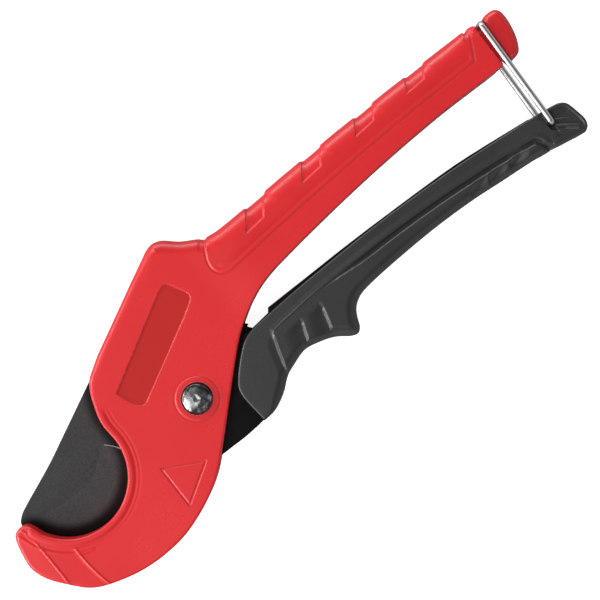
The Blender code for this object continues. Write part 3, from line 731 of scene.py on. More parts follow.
def coated_blade(name, lift, lines):
    """Dark non-stick coating over ground steel: a fine sprayed grain, grinding lines under it on the bevel, and painted
    shadow where walls crowd close over it.
    """
    g = Graph(name)
    spray = g.noise(0.55, 4.0, 0.75)
    clouds = g.noise(9.0, 4.0, 0.6)
    grind = g.noise(0.8, 2.0, 0.5, stretch=(0.05, 1.4, 1.0))
    base = g.mix(g.spread(spray, 0.0, 1.0, 0.35, 0.68), tuple(lift * c for c in (0.020, 0.020, 0.0205)),
                 tuple(lift * c for c in (0.044, 0.044, 0.045)))
    base = g.mix(g.spread(clouds, 0.0, 0.5), base, tuple(lift * c for c in (0.038, 0.038, 0.039)))
    base = g.mix(g.math("MULTIPLY", g.edge_wear_and_sheen(radius=0.25), 0.55), base, (0.33, 0.33, 0.34))
    # painted shadow: the coating is painted black where the jaw walls crowd the blade, for the shadow they cast on it
    g.use("Base Color", g.mix(g.shade(6.0, 0.66, 0.88), (0.0, 0.0, 0.0), base))
    g.use("Metallic", 0.15)
    g.use("Roughness", g.spread(spray, 0.46, 0.62))
    g.use("Specular IOR Level", 0.35)
    g.bump((spray, 0.022), (grind, lines))
    return g.material


def blackened():
    """Black-oxide sheet steel: near black, satin, with sheared edges painted lighter, partly bare steel showing and
    partly a painted highlight.
    """
    g = Graph("blackened_steel_look")
    clouds = g.noise(5.0, 4.0, 0.6)
    fine = g.noise(0.4, 3.0, 0.6, stretch=(0.2, 1.0, 1.0))
    base = g.mix(g.spread(clouds, 0.0, 1.0), (0.0028, 0.0028, 0.003), (0.0062, 0.0062, 0.0066))
    # sheared edges painted lighter: partly bare steel, partly a painted highlight along the rims
    base = g.mix(g.math("MULTIPLY", g.edge_wear_and_sheen(radius=0.25), 0.8), base, (0.22, 0.225, 0.23))
    g.use("Base Color", base)
    g.use("Metallic", 0.0)
    g.use("Roughness", g.spread(fine, 0.36, 0.52))
    g.use("Specular IOR Level", 0.22)
    g.bump((fine, 0.008), (clouds, 0.01))
    return g.material


# For each moulding the third colour is its painted edge highlight, and hollow (the last number of BLACK) sets the
# strength of its painted shade in recesses
RED = moulded("red_moulding_look", (0.69, 0.024, 0.028), (0.65, 0.019, 0.023), 0.30, 0.005, (0.95, 0.42, 0.43), 0.6)
LABEL_RED = moulded("red_moulding_recess", (0.49, 0.014, 0.011), (0.46, 0.012, 0.010), 0.5, 0.010, (0.95, 0.36, 0.37))
BLACK = moulded("black_moulding_look", (0.037, 0.037, 0.0375), (0.030, 0.030, 0.0305), 0.28, 0.005, (0.15, 0.15, 0.15), 0.66, 0.5, 0.35)
NYLON = moulded("black_washer_look", (0.03, 0.03, 0.032), (0.02, 0.02, 0.022), 0.35, 0.006, (0.06, 0.06, 0.06))
BLADE = coated_blade("coated_blade_steel_look", 1.35, 0.006)
GROUND_BLADE = coated_blade("coated_blade_steel_ground", 1.75, 0.014)
BARE_EDGE = steel("coated_blade_steel_bare", (0.34, 0.34, 0.35), 0.42, 0.004, (0.2, 1.0, 1.0), (0.2, 0.2, 0.21), 0.6, 0.4)
DARK_STEEL = blackened()
BRIGHT = stamped()
CHROME = steel("chromed_wire_look", (0.86, 0.86, 0.87), 0.24, 0.001, None, (0.55, 0.55, 0.57), 0.3)
ZINC = steel("zinc_steel_look", (0.62, 0.63, 0.65), 0.3, 0.006, (1.0, 0.3, 1.0), (0.4, 0.41, 0.43), 0.5)
SPRING = steel("spring_steel_look", (0.42, 0.42, 0.43), 0.28, 0.004, (0.3, 1.0, 1.0), (0.2, 0.2, 0.21), 0.6)


def dress(obj, *materials):
    obj.data.materials.clear()
    for m in materials:
        obj.data.materials.append(m)
    return obj


def piece(obj, body, slot, *nodes):
    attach(obj, body)
    if nodes:
        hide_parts(*nodes)
    return obj


# ---------------------------------------------------------------- red shells
BODY_OUT = curve(
    arc(JAW_CX, JAW_CY, JAW_R, 206, 360, 44)
    + [(-25.8, 10.9), (-25.1, 14.7), (-24.0, 17.6), (-22.6, 20.9), (-20.4, 24.0), (-17.4, 26.0),
       (-14.3, 27.8), (-8.0, 30.8), (0.0, 34.6), (8.0, 38.4), (13.0, 40.7), (15.6, 41.9), (18.0, 42.4), (20.8, 41.6),
       (25.0, 37.8), (29.6, 34.8), (30.2, 34.1), (30.9, 33.6), (31.7, 33.8), (33.0, 33.6), (35.0, 33.35), (40.0, 33.2),
       (45.0, 33.2, 0), (45.9, 32.65, 0), (48.0, 32.6), (52.2, 32.65, 0), (53.2, 33.25, 0), (58.0, 33.3), (66.0, 33.3, 0),
       (67.0, 32.7, 0), (70.0, 32.65), (73.0, 32.7, 0), (73.9, 33.2, 0), (80.0, 33.15), (85.8, 33.0, 0), (86.7, 32.45, 0),
       (89.0, 32.4), (92.3, 32.4, 0), (93.1, 32.9, 0), (98.0, 32.8), (104.4, 32.55, 0), (105.2, 32.05, 0), (108.0, 31.95),
       (111.0, 31.85, 0), (111.8, 32.3, 0), (118.0, 32.05), (123.0, 31.8), (125.4, 31.6), (125.9, 31.05), (126.5, 31.1),
       (127.1, 31.45), (128.3, 31.35), (129.2, 30.9), (129.5, 30.2), (129.7, 28.8, 0), (132.0, 28.8, 0), (132.05, 30.0),
       (132.4, 30.7), (134.2, 31.2), (136.8, 30.8), (137.9, 29.6), (138.2, 27.8), (137.9, 24.6), (136.5, 19.8),
       (134.6, 16.9), (132.7, 16.3), (131.4, 16.6), (131.1, 18.0, 0), (128.8, 18.0, 0), (128.7, 17.0), (127.9, 16.8),
       (106.0, 17.6), (75.5, 17.0), (41.5, 14.3), (35.7, 13.2), (31.5, 11.8), (27.2, 9.8), (20.9, 5.8), (10.0, -3.5),
       (-4.2, -16.0), (-10.9, -21.3), (-18.1, -24.9), (-27.7, -27.8), (-35.1, -28.4), (-41.5, -28.0), (-47.3, -26.8),
       (-55.3, -23.9), (-58.9, -21.5), (-63.5, -16.2), (-66.5, -11.8), (-68.0, -7.3), (-67.8, -4.0), (-66.2, 2.0),
       (-65.0, 3.7), (-62.4, 4.3), (-60.8, 3.4), (-59.8, 1.3)],
    0.015)

LIP = line(arc(JAW_CX, JAW_CY, JAW_R, 200, 360, 40) + [(-25.8, 10.9), (-25.1, 14.7)])
FACET_A = line([(-63.0, 3.8), (-62.1, 1.0), (-61.9, -3.0), (-61.9, -8.0), (-62.0, -13.0), (-62.2, -18.5)])
FACET_B = line([(-54.2, -8.6), (-54.4, -13.0), (-54.2, -18.0), (-53.6, -22.5), (-52.8, -25.5)])
SWEEP_LINE = line([(-64.6, 2.0), (-63.0, -2.6), (-60.5, -6.6), (-57.4, -10.0), (-54.4, -12.4), (-50.5, -14.0)])
LABEL = curve([(-16.9, 15.9, 0), (-15.2, 11.0), (-13.9, 9.0), (-12.9, 8.4), (-11.6, 8.6), (-10.0, 9.4, 0), (12.0, 20.2, 0),
               (15.5, 22.2), (16.8, 23.1), (17.35, 24.2), (17.1, 25.4, 0), (14.9, 29.9, 0), (14.1, 30.85), (12.9, 31.1),
               (11.6, 30.65), (10.0, 29.9, 0)])
TRIANGLE = [(-20.9, -8.9), (-9.6, -15.3), (-21.3, -22.0)]
NOTCHES = [
    [(47.3, 35.0), (53.7, 35.0), (47.9, 27.5), (41.0, 27.1)],
    [(68.0, 35.0), (74.4, 35.0), (69.8, 28.2), (62.6, 27.9)],
    [(87.6, 35.0), (94.1, 35.0), (89.8, 28.5), (82.8, 28.2)],
    [(106.3, 35.0), (112.9, 35.0), (108.5, 28.4), (101.8, 28.2)],
]
PANEL = curve([(32.6, 36.5, 0), (31.0, 33.4), (29.0, 30.4), (27.7, 27.6), (27.5, 25.4), (28.6, 23.4), (30.6, 22.4), (33.0, 22.2),
               (40.0, 22.5), (50.0, 23.0), (65.0, 23.5), (80.0, 23.75), (95.0, 23.8), (110.0, 23.5), (122.5, 23.2, 0),
               (128.6, 34.0, 0), (80.0, 37.5, 0)])
RING = circle(0, 0, 6.15, 72)
CAP_LINE = [(128.35, 14.0), (129.45, 35.0)]


def body_edge(P):
    """Rim radius: small round the jaw and underneath, generous along the back of the handle."""
    x, y = P[:, 0], P[:, 1]
    e = np.full(len(P), 0.75)
    back = (y > 0.42 * x + 22.0) & (x < 31) & (y > 20)
    e = np.where(back, 2.3 + 1.5 * ramp(8, 22, x), e)
    e = np.where((x < -17) & (y > 14), 0.9 + 1.3 * ramp(18, 27, y), e)
    handle_top = (y > 26) & (x >= 36) & (x < 126)
    e = np.where((x >= 24) & (y > 26), 3.8 + 0.9 * ramp(28, 36, x), e)
    e = np.where(handle_top, 4.6, e)
    e = np.where((y > 26) & (x >= 118), 4.6 - 2.0 * ramp(120, 129, x), e)
    e = np.where((y <= 20) & (x > 24) & (x < 128.75), 0.4, e)
    e = np.where(x > 128.6, 0.7, e)
    e = np.where(x > 132.0, 2.3, e)
    e = np.where((x < -58) & (y > -20), 1.3, e)
    jaw = np.abs(np.hypot(x - JAW_CX, y - JAW_CY) - JAW_R) < 0.3
    e = np.where(jaw & (y < 11), 0.85, e)
    return e


def rim_drop(d, e, fullness):
    """How far the rim falls below the face: a quarter circle at fullness 2, nearly a chamfer at 1.3."""
    t = np.clip(1 - d / np.maximum(e, 1e-6), 0, 1)
    return 1 - np.maximum(1 - t ** fullness, 0.0) ** (1 / fullness)


def body_height(P, d, e, plain):
    x, y = P[:, 0], P[:, 1]
    full = HEAD_Z + (HANDLE_Z - HEAD_Z) * ramp(22, 38, x)
    z = full.copy()
    # lip round the pipe seat: bead, groove, soft return
    r, _, where, _ = near_segments(P, LIP, False)
    lip = 0.26 * ramp(2.3, 1.4, r) - 0.10 * hump(r - 2.5, 0.55) - 0.05 * hump(r - 3.55, 0.5)
    fade = ramp(15.4, 12.5, y) * np.where(x < -58, ramp(4.4, 1.5, y), 1.0)
    z += lip * fade
    # nose facets
    ra, _, _, side_a = near_segments(P, FACET_A, False)
    rb, _, _, side_b = near_segments(P, FACET_B, False)
    outside = ramp(2.4, 3.4, r)
    z += outside * (0.22 * hump(ra, 0.55) + 0.20 * hump(rb, 0.5))
    left_a = np.where(side_a < 0, 1.0, 0.0) * (x < -55)
    left_b = np.where(side_b < 0, 1.0, 0.0) * (x < -45)
    z -= outside * left_a * 0.55 * ramp(0.0, 6.5, ra)
    z -= outside * left_b * 0.18 * ramp(0.0, 1.2, rb)
    rs = near_segments(P, SWEEP_LINE, False)[0]
    z += 0.16 * hump(rs, 0.8)
    # grip panel along the back of the handle
    s = signed(P, PANEL)
    z += 0.20 * ramp(-0.3, 0.15, s) - 0.10 * hump(s + 0.5, 0.35)
    z -= 0.05 * hump(s - 1.1, 0.4) * ramp(26, 24.6, y)
    for notch in NOTCHES:
        z -= 0.34 * ramp(-0.2, 0.2, signed(P, notch))
    # pivot seat
    r0 = np.hypot(x, y)
    z += 0.22 * ramp(6.40, 5.98, r0) - 0.05 * hump(r0 - 6.65, 0.3)
    if not plain:
        z -= 0.28 * ramp(-0.2, 0.2, signed(P, LABEL))
        z -= 0.24 * hump(near_segments(P, TRIANGLE, True)[0], 0.52)
    # narrower end that the bail closes over
    side = (P[:, 0] - CAP_LINE[0][0]) - (P[:, 1] - CAP_LINE[0][1]) * (CAP_LINE[1][0] - CAP_LINE[0][0]) / 21.0
    cap = ramp(-0.28, 0.0, side)
    z = z * (1 - cap) + (CAP_Z - 0.02) * cap
    z = np.minimum(z, HANDLE_Z + 0.36)
    fullness = 2.0 - 0.2 * ramp(2.0, 4.0, e)
    tall = e * (1.0 - 0.2 * ramp(2.0, 4.0, e))
    return z - tall * rim_drop(d, e, fullness)


def slot_outline():
    n = polar(1, 114.35 - 50)
    reach = 29.9 + 1.3
    exit_point = (reach * n[0] - 20 * n[1], reach * n[1] + 20 * n[0])
    meet = 114.35 - 50 + math.degrees(math.acos(reach / 31.8))
    return (
        [p[:2] for p in arc(0, 0, 31.8, 20, meet, 24)]
        + [exit_point, (-30, 38), (-76, 22), (-76, 8)]
        + [p[:2] for p in arc(0, 0, 63.7, 176, 187, 8)]
        + [(-44.5, -13.3), (-42.0, -13.4), (-40.0, -12.8), (-26.5, -6.6), (-19.0, -6.0), (0, -5), (14, -26),
           (45, -26), (36, 8)]
    )


def pawl_room():
    a = 26.0
    return [polar(30, a + 3), polar(35.6, a + 1.5), polar(36.2, a + 8), polar(34.2, a + 21), polar(30, a + 21)]


def handle_pocket(x0, x1):
    step = lambda a, b, x: float(ramp(a, b, x))
    low = lambda x: 14.3 + 2.7 * step(36, 80, x) + 2.9
    high = lambda x: 33.2 - 0.6 * step(80, 120, x) - 2.9
    return [(x0, low(x0)), (x1, low(x1)), (x1, high(x1)), (x0, high(x0))]


def make_shell(sign, node):
    plain = sign < 0
    spread = lambda *d: sorted(set(list(d) + [-v for v in d]))
    features = [
        (RING, True, (-0.85, -0.6, -0.42, -0.28, -0.15, 0.0, 0.15, 0.4), 0.5),
        (PANEL, True, (-1.05, -0.8, -0.6, -0.4, -0.25, -0.05, 0.15, 0.35, 0.8, 1.1, 1.4), 0.6),
        (LIP, False, [-v for v in (1.1, 1.3, 1.55, 1.8, 2.05, 2.3, 2.5, 2.75, 3.05, 3.3, 3.6, 3.9, 4.3)], 0.55),
        (FACET_A, False, spread(0.0, 0.2, 0.4, 0.6, 0.8, 1.4, 2.4, 3.6), 0.6),
        (FACET_B, False, spread(0.0, 0.2, 0.4, 0.6, 0.8, 1.2), 0.6),
        (SWEEP_LINE, False, spread(0.0, 0.25, 0.5, 0.8), 0.6),
        (CAP_LINE, False, (0.35, 0.28, 0.2, 0.1, 0.0, -0.1), 0.5),
    ]
    features += [(notch, True, spread(0.0, 0.1, 0.22, 0.35), 0.35) for notch in NOTCHES]
    if not plain:
        features += [(LABEL, True, spread(0.0, 0.11, 0.22, 0.36), 0.35), (TRIANGLE, True, spread(0.0, 0.15, 0.3, 0.45, 0.6), 0.4)]
    shell = relief(f"{node}_moulding", BODY_OUT, body_edge,
                   lambda P, d, e: body_height(P, d, e, plain), features, 0.03, sign)

    def away(tag, outline, depth, start=-1.0):
        z0, z1 = sorted((sign * start, sign * depth))
        cut(shell, prism(f"{node}_{tag}", outline, z0, z1))

    away("slot", slot_outline(), 1.85)
    away("leaf", pawl_room(), 1.86)
    away("head", circle(0, 0, 22.0, 120), 4.7)
    for k, (x0, x1) in enumerate(((38, 55.5), (64.5, 87), (91, 113.5))):
        away(f"pocket_{k}", handle_pocket(x0, x1), 6.3)
    away("bolt", circle(0, 0, 3.3), 20, 3.0)
    if sign > 0:
        away("bolt_head", circle(0, 0, 4.75, 80), 20, 7.8)
        cut(shell, turned(f"{node}_return", [(5.7, 4.0), (7.4, 4.0), (7.4, 7.2), (5.7, 7.2)]))
        away("leg", [polar(6.6, 142), polar(12.5, 146), polar(12.5, 154), polar(6.6, 158)], 7.2, 4.0)
    else:
        away("nut", circle(0, 0, 6.3, 80), 20, 7.4)
    away("pawl_pin", circle(*HOLDING_PAWL, PIN_R + 0.12), 6.3, 1.0)
    away("stop_pin", circle(*polar(29.0, 48.3), 1.12), 5.3, 1.0)
    for k, (x, y) in enumerate(BODY_SCREWS):
        if sign > 0:
            away(f"screw_{k}", circle(x, y, 1.6), 5.6, -1.0)
        else:
            away(f"screw_{k}", circle(x, y, 1.6), 20, -1.0)
            away(f"screw_head_{k}", circle(x, y, 3.1), 20, 6.0)
    settle(shell)
    dress(shell, RED, LABEL_RED)
    if not plain:
        mesh = shell.data
        count = len(mesh.polygons)
        centre, normal = np.empty(count * 3, np.float32), np.empty(count * 3, np.float32)
        mesh.polygons.foreach_get("center", centre)
        mesh.polygons.foreach_get("normal", normal)
        centre, normal = centre.reshape(-1, 3) * 1000, normal.reshape(-1, 3)
        spots = centre[:, :2] - np.array([PX, PY])
        recessed = np.zeros(count, np.int32)
        near = np.where((centre[:, 2] > 7.6) & (normal[:, 2] > 0.5))[0]
        inside = signed(spots[near], LABEL) > 0.02
        recessed[near[inside]] = 1
        mesh.polygons.foreach_set("material_index", recessed)
    return piece(shell, "root", "red_moulding", node)


make_shell(1, "front_shell")
make_shell(-1, "rear_shell")

# ---------------------------------------------------------------- main pivot
dome = [(8.0 * math.sin(t), 2.82 + 8.0 * math.cos(t)) for t in np.radians(np.linspace(31.5, 9.0, 12))]
piece(dress(turned("pivot_bolt_polished",
                   [(0, -10.6), (2.6, -10.6), (3.0, -10.2), (3.0, 8.0), (4.1, 8.0), (4.28, 8.15), (4.32, 9.2), (4.28, 9.48)]
                   + dome + [(0.95, 10.75), (0.7, 10.72), (0.4, 10.62), (0, 10.58)], sides=96), BRIGHT),
      "root", "bright_steel", "pivot_bolt")
piece(dress(turned("pivot_washer_zinc", [(3.3, -8.1), (3.4, -8.2), (5.65, -8.2), (5.8, -8.05), (5.8, -7.75), (5.65, -7.6),
                                         (3.4, -7.6), (3.3, -7.7)]), ZINC), "root", "zinc_steel", "pivot_washer")


def hexagon(radius, turn=10):
    return [p[:2] for p in arc(0, 0, radius, turn, turn + 300, 5)]


nut = prism("pivot_nut_hex", hexagon(4.7), -10.9, -8.4)
cut(nut, turned("nut_chamfer", [(0, -10.9), (4.05, -10.9), (4.75, -10.45), (4.75, -8.85), (4.05, -8.4), (0, -8.4)]),
    "INTERSECT")
cut(nut, turned("nut_bore", [(0, -12), (3.75, -12), (3.75, -10.9), (3.15, -10.4), (3.15, -8.9), (3.6, -8.4), (3.6, -7),
                             (0, -7)]))
piece(dress(settle(nut, 25), ZINC), "root", "zinc_steel", "pivot_nut")
piece(dress(turned("pivot_bush_ground", [(3.2, -4.3), (3.3, -4.4), (4.85, -4.4), (5.0, -4.25), (5.0, 4.25), (4.85, 4.4),
                                         (3.3, 4.4), (3.2, 4.3)]), ZINC), "root", "zinc_steel", "pivot_bush")
for label, z0, z1 in (("front", 3.85, 4.4), ("rear", -4.4, -3.85)):
    piece(dress(turned(f"thrust_washer_{label}_nylon",
                       [(5.3, z0 + 0.1), (5.4, z0), (8.5, z0), (8.6, z0 + 0.1), (8.6, z1 - 0.1), (8.5, z1), (5.4, z1),
                        (5.3, z1 - 0.1)]), NYLON), "root", "black_moulding", f"thrust_washer_{label}")

coil = [(*polar(12.0, 150.0), 6.5), (*polar(9.5, 150.0), 6.5), (*polar(7.4, 150.0), 6.5)]
coil += [(*polar(6.55, 141.0 - 630.0 * i / 120), 6.5 - 1.55 * i / 120) for i in range(121)]
piece(dress(sweep("return_spring_coil", coil, 0.5, 16), SPRING), "root", "spring_steel", "return_spring")


# ---------------------------------------------------------------- screws and pins
def screw(name, x, y, shank, head, tip, under, crown, drive):
    """Pan-head screw whose head faces -Z, with a cross recess."""
    body = turned(name, [(0, tip), (shank * 0.8, tip - 0.15), (shank, tip - 0.6), (shank, under), (head - 0.1, under),
                         (head, under - 0.15), (head, under - 0.35 * (under - crown)),
                         (head * 0.9, under - 0.62 * (under - crown)), (head * 0.7, under - 0.84 * (under - crown)),
                         (head * 0.4, under - 0.96 * (under - crown)), (0, crown)][::-1], at=(x, y), sides=48)
    for a in (20, 110):
        c, s = math.cos(math.radians(a)), math.sin(math.radians(a))
        bar = [(drive, 0.3), (-drive, 0.3), (-drive, -0.3), (drive, -0.3)]
        bar = [(x + c * u - s * v, y + s * u + c * v) for u, v in bar]
        cut(body, prism(f"{name}_bar_{a}", bar, crown - 1, crown + 1.0))
    return dress(settle(body), ZINC)


for k, (x, y) in enumerate(BODY_SCREWS):
    piece(screw(f"body_screw_{k + 1}_crosshead", x, y, 1.4, 2.8, 5.2, -6.2, -8.2, 1.45),
          "root", "zinc_steel", f"body_screw_{k + 1}")
for k, (x, y) in enumerate(GRIP_SCREWS):
    piece(screw(f"grip_screw_{k + 1}_crosshead", x, y, 1.25, 2.5, 6.2, -6.6, -8.3, 1.3),
          "lever", "zinc_steel", f"grip_screw_{k + 1}")


def pin(name, at, radius, half):
    return dress(turned(name, [(0, -half), (radius - 0.2, -half), (radius, -half + 0.2), (radius, half - 0.2),
                               (radius - 0.2, half), (0, half)], at=at, sides=40), ZINC)


piece(pin("holding_pawl_pin_ground", HOLDING_PAWL, PIN_R, 6.0), "root", "zinc_steel", "holding_pawl_pin")
piece(pin("blade_stop_pin_ground", polar(29.0, 48.3), 1.0, 5.0), "root", "zinc_steel", "blade_stop_pin")
piece(pin("drive_pawl_pin_ground", DRIVE_PAWL, PIN_R, 5.3), "lever", "zinc_steel", "drive_pawl_pin")


# ---------------------------------------------------------------- blade
def blade_outline():
    top, root = 25.7, 24.8
    points = [polar(13.0, -6), polar(16.0, -2.5), polar(root, -2.5)]
    k = 0
    while 0.6 + 5.0 * k < 95.0:
        at = 0.6 + 5.0 * k
        points += [polar(root + 0.12, at - 0.25), polar(root + 0.35, at), polar(top - 0.15, at), polar(top, at + 0.4)]
        k += 1
    points += [polar(root, 95.6), polar(root, 101)]
    points += [polar(30.6, 101), polar(30.6, 104), polar(30.6, 107), polar(30.6, 109.5), polar(30.6, 112)]
    points += [p[:2] for p in line([(-12.2, 27.6), (-36.0, 17.2), (-45.2, 13.05), (-59.7, 7.5), (-61.1, 6.75),
                                    (-62.2, 5.85), (-62.7, 5.3), (-63.05, 4.4)])][1:]
    points += [p[:2] for p in arc(0, 0, 63.2, 177.2, 186.4, 8)]
    points += [(-44.8, -12.6), (-43.7, -12.85), (-42.6, -12.8), (-40.6, -12.2), (-27.0, -5.9), (-23.5, -5.2), (-20.5, -5.6),
               (-14.0, -7.0)]
    points += [p[:2] for p in arc(0, 0, 13.0, 222, 350, 28)]
    return points


BEVEL_TOP = line([(-66.0, 3.6, 0), (-58.0, 2.7, 0), (-42.0, 1.2), (-39.0, 1.7), (-36.0, 3.4), (-30.0, 7.6, 0),
                  (-26.4, 3.2, 0), (-22.0, -2.5, 0), (-19.0, -8.0, 0)])


BEVEL_STEP = line([(-29.6, 6.9), (-28.3, 5.5), (-27.2, 3.9), (-26.5, 2.6)])


def blade_edge(P):
    return np.full(len(P), 0.28)


def blade_height(P, d, e):
    x, y = P[:, 0], P[:, 1]
    z = np.full(len(P), BLADE_Z)
    r, which, where, side = near_segments(P, BEVEL_TOP, False)
    below = (side < 0) & (x < -20)
    tip = (y + 8.2 + (x + 62.0) * 0.245) * 0.971
    heel = (y + 12.6 - (x + 42.0) * 0.455) * 0.91
    depth = np.clip(np.maximum(tip, heel), 0.0, None)
    ground = 0.16 + (BLADE_Z - 0.16) * np.clip(depth / np.maximum(depth + r, 0.5), 0, 1)
    z = np.where(below, np.minimum(z, ground), z)
    z = np.maximum(z, 0.16)
    return np.where(d < e, np.maximum(z - e + np.sqrt(np.maximum(e * e - (e - d) ** 2, 0.0)), 0.08), z)


blade = relief("blade_coated", blade_outline(), blade_edge, blade_height,
               [(BEVEL_TOP, False, (-0.4, 0.0, 0.4), 0.5), (BEVEL_STEP, False, (-0.15, 0.15), 0.3)], 0, step=0.9,
               coarse=2.2, both=True, smooth=24)
cut(blade, turned("blade_bore", [(0, -3), (5.55, -3), (5.55, -1.5), (5.3, -1.25), (5.3, 1.25), (5.55, 1.5), (5.55, 3),
                                 (0, 3)]))
settle(blade, 24)
dress(blade, BLADE, GROUND_BLADE, BARE_EDGE)


def blade_zones(mesh):
    """The hollow-ground part under the bevel line is lighter, and its shoulder shows bare steel."""
    count = len(mesh.polygons)
    centre = np.empty(count * 3, np.float32)
    mesh.polygons.foreach_get("center", centre)
    spots = centre.reshape(-1, 3)[:, :2] * 1000 - np.array([PX, PY])
    _, _, _, side = near_segments(spots, BEVEL_TOP, False)
    zone = np.where((side < 0) & (spots[:, 0] < -20), 1, 0).astype(np.int32)
    zone[near_segments(spots, BEVEL_STEP, False)[0] < 0.14] = 2
    mesh.polygons.foreach_set("material_index", zone)


blade_zones(blade.data)
piece(blade, "blade", "coated_blade_steel", "blade")

# ---------------------------------------------------------------- lever channel
CHANNEL = curve(
    [(24.2, 5.3, 0), (31.2, 5.8, 0), (32.2, 7.0, 0), (45.0, 6.6), (60.0, 6.2), (75.0, 5.5), (90.0, 4.6),
     (100.0, 3.8), (110.0, 2.5), (120.0, 1.0), (124.5, 0.3, 0), (124.5, -4.6, 0), (114.0, -4.2), (100.0, -3.2),
     (80.0, -2.6), (60.0, -3.4), (40.0, -5.6), (33.0, -6.6), (30.6, -8.6), (28.0, -9.7), (24.0, -11.2),
     (19.5, -14.4), (14.9, -16.6), (10.5, -17.2), (4.0, -17.5), (-1.0, -17.3), (-6.5, -16.7), (-10.4, -13.2),
     (-12.2, -8.0)] + arc(0, 0, 12.4, 180, 60, 30) + [(12.0, 8.6), (19.0, 5.3, 0)], 0.03)
WEB = curve([(33.5, 6.96, 0), (45.0, 6.6), (60.0, 6.2), (75.0, 5.5), (90.0, 4.6), (100.0, 3.8), (110.0, 2.5),
             (120.0, 1.0), (124.4, 0.32, 0), (124.4, -1.6, 0), (110.0, 0.5), (100.0, 1.8), (90.0, 2.6),
             (75.0, 3.5), (60.0, 4.2), (45.0, 4.6), (33.5, 4.96, 0)], 0.03)
channel = prism("lever_channel_sheet", CHANNEL, 1.8, 3.6, 0.22, 30)
cut(channel, prism("channel_rear", CHANNEL, -3.6, -1.8, 0.22, 30), "UNION")
cut(channel, prism("channel_web", WEB, -2.0, 2.0), "UNION")
cut(channel, prism("channel_bore", circle(0, 0, 5.3, 72), -8, 8))
cut(channel, prism("channel_pin", circle(*DRIVE_PAWL, PIN_R + 0.12), -8, 8))
for k, (x, y) in enumerate(GRIP_SCREWS):
    cut(channel, prism(f"channel_screw_{k}", circle(x, y, 1.6), -8, 8))
settle(channel, 30)
piece(dress(channel, DARK_STEEL), "lever", "blackened_steel", "lever_channel")

# ---------------------------------------------------------------- lever grip halves
GRIP_OUT = curve(
    [(24.5, 5.0), (31.0, 5.4), (40.0, 5.7), (57.0, 5.6), (70.0, 5.3), (80.0, 4.8), (100.0, 3.2), (120.0, 0.7),
     (130.0, -0.8), (133.7, -1.7), (135.4, -3.1), (136.3, -6.6), (136.7, -10.4), (136.1, -12.1), (134.5, -13.0),
     (131.0, -12.35), (127.0, -11.5), (124.6, -10.75), (123.9, -10.35), (123.2, -10.7), (118.0, -9.85), (107.0, -8.55),
     (96.8, -7.3), (80.6, -6.4), (57.0, -7.0), (54.0, -7.8), (51.6, -9.5), (50.1, -11.8),
     (49.0, -14.2), (47.5, -15.4), (45.6, -14.9), (41.7, -12.0), (37.6, -10.3), (32.6, -9.2), (28.0, -10.3),
     (24.2, -11.7), (19.9, -14.8), (14.9, -17.0), (10.7, -17.3, 0), (10.5, -6.7), (11.9, -3.9), (20.7, 3.8)], 0.015)

TRIM = line([(23.9, -12.8), (25.3, -8.8), (26.6, -4.9), (27.8, -1.6), (28.35, -0.35), (29.3, 0.42), (32.0, 0.85), (38.0, 1.15),
             (47.0, 1.45), (60.0, 1.25), (75.0, 0.7), (90.0, -0.45), (100.0, -1.6), (110.0, -2.9), (119.0, -4.3),
             (121.8, -5.0), (122.9, -6.4), (123.6, -8.4), (124.0, -11.6)])
FINGERS = [line([(37.0, -2.2), (35.9, -4.6), (35.0, -7.0)]), line([(44.1, -2.8), (43.2, -5.6), (42.2, -8.9)])]
BACK_SCOOPS = [line([(99.6, -4.0), (98.2, -5.2), (97.0, -7.6)]), line([(105.9, -4.7), (104.5, -5.9), (103.3, -8.2)]),
               line([(113.2, -5.2), (111.7, -6.5), (110.3, -9.1)])]
TIP_GROOVES = [(line([(130.2, -4.3), (131.9, -5.3), (133.6, -6.6)]), 0.24, 0.5),
               (line([(129.6, -5.7), (132.0, -7.4), (134.4, -9.3)]), 0.5, 1.0),
               (line([(128.5, -6.2), (128.2, -7.9)]), 0.25, 0.7)]
TIP_RIM = line([(128.5, -0.6), (130.0, -0.8), (133.7, -1.7), (135.4, -3.1), (136.3, -6.6), (136.7, -10.4)])


def grip_edge(P):
    """Rim radius: crisp along the top and front, full on the finger side."""
    x, y = P[:, 0], P[:, 1]
    top = y > 4.9 - 0.0009 * np.maximum(x - 50, 0) ** 2
    e = np.where(top, 0.6, 3.2)
    e = np.where(~top & (x > 40) & (x < 56), 3.4, e)
    e = np.where(~top & (x < 24), 0.6 + 2.4 * ramp(11, 20, x), e)
    e = np.where((x < 26) & (y > -8), 0.7, e)
    e = np.where((x > 130) & (y > -3.4), 0.6, e)
    e = np.where((x > 124.5) & (y < -9), 1.5, e)
    e = np.where((x > 135) & (y > -11), 0.6, e)
    return e


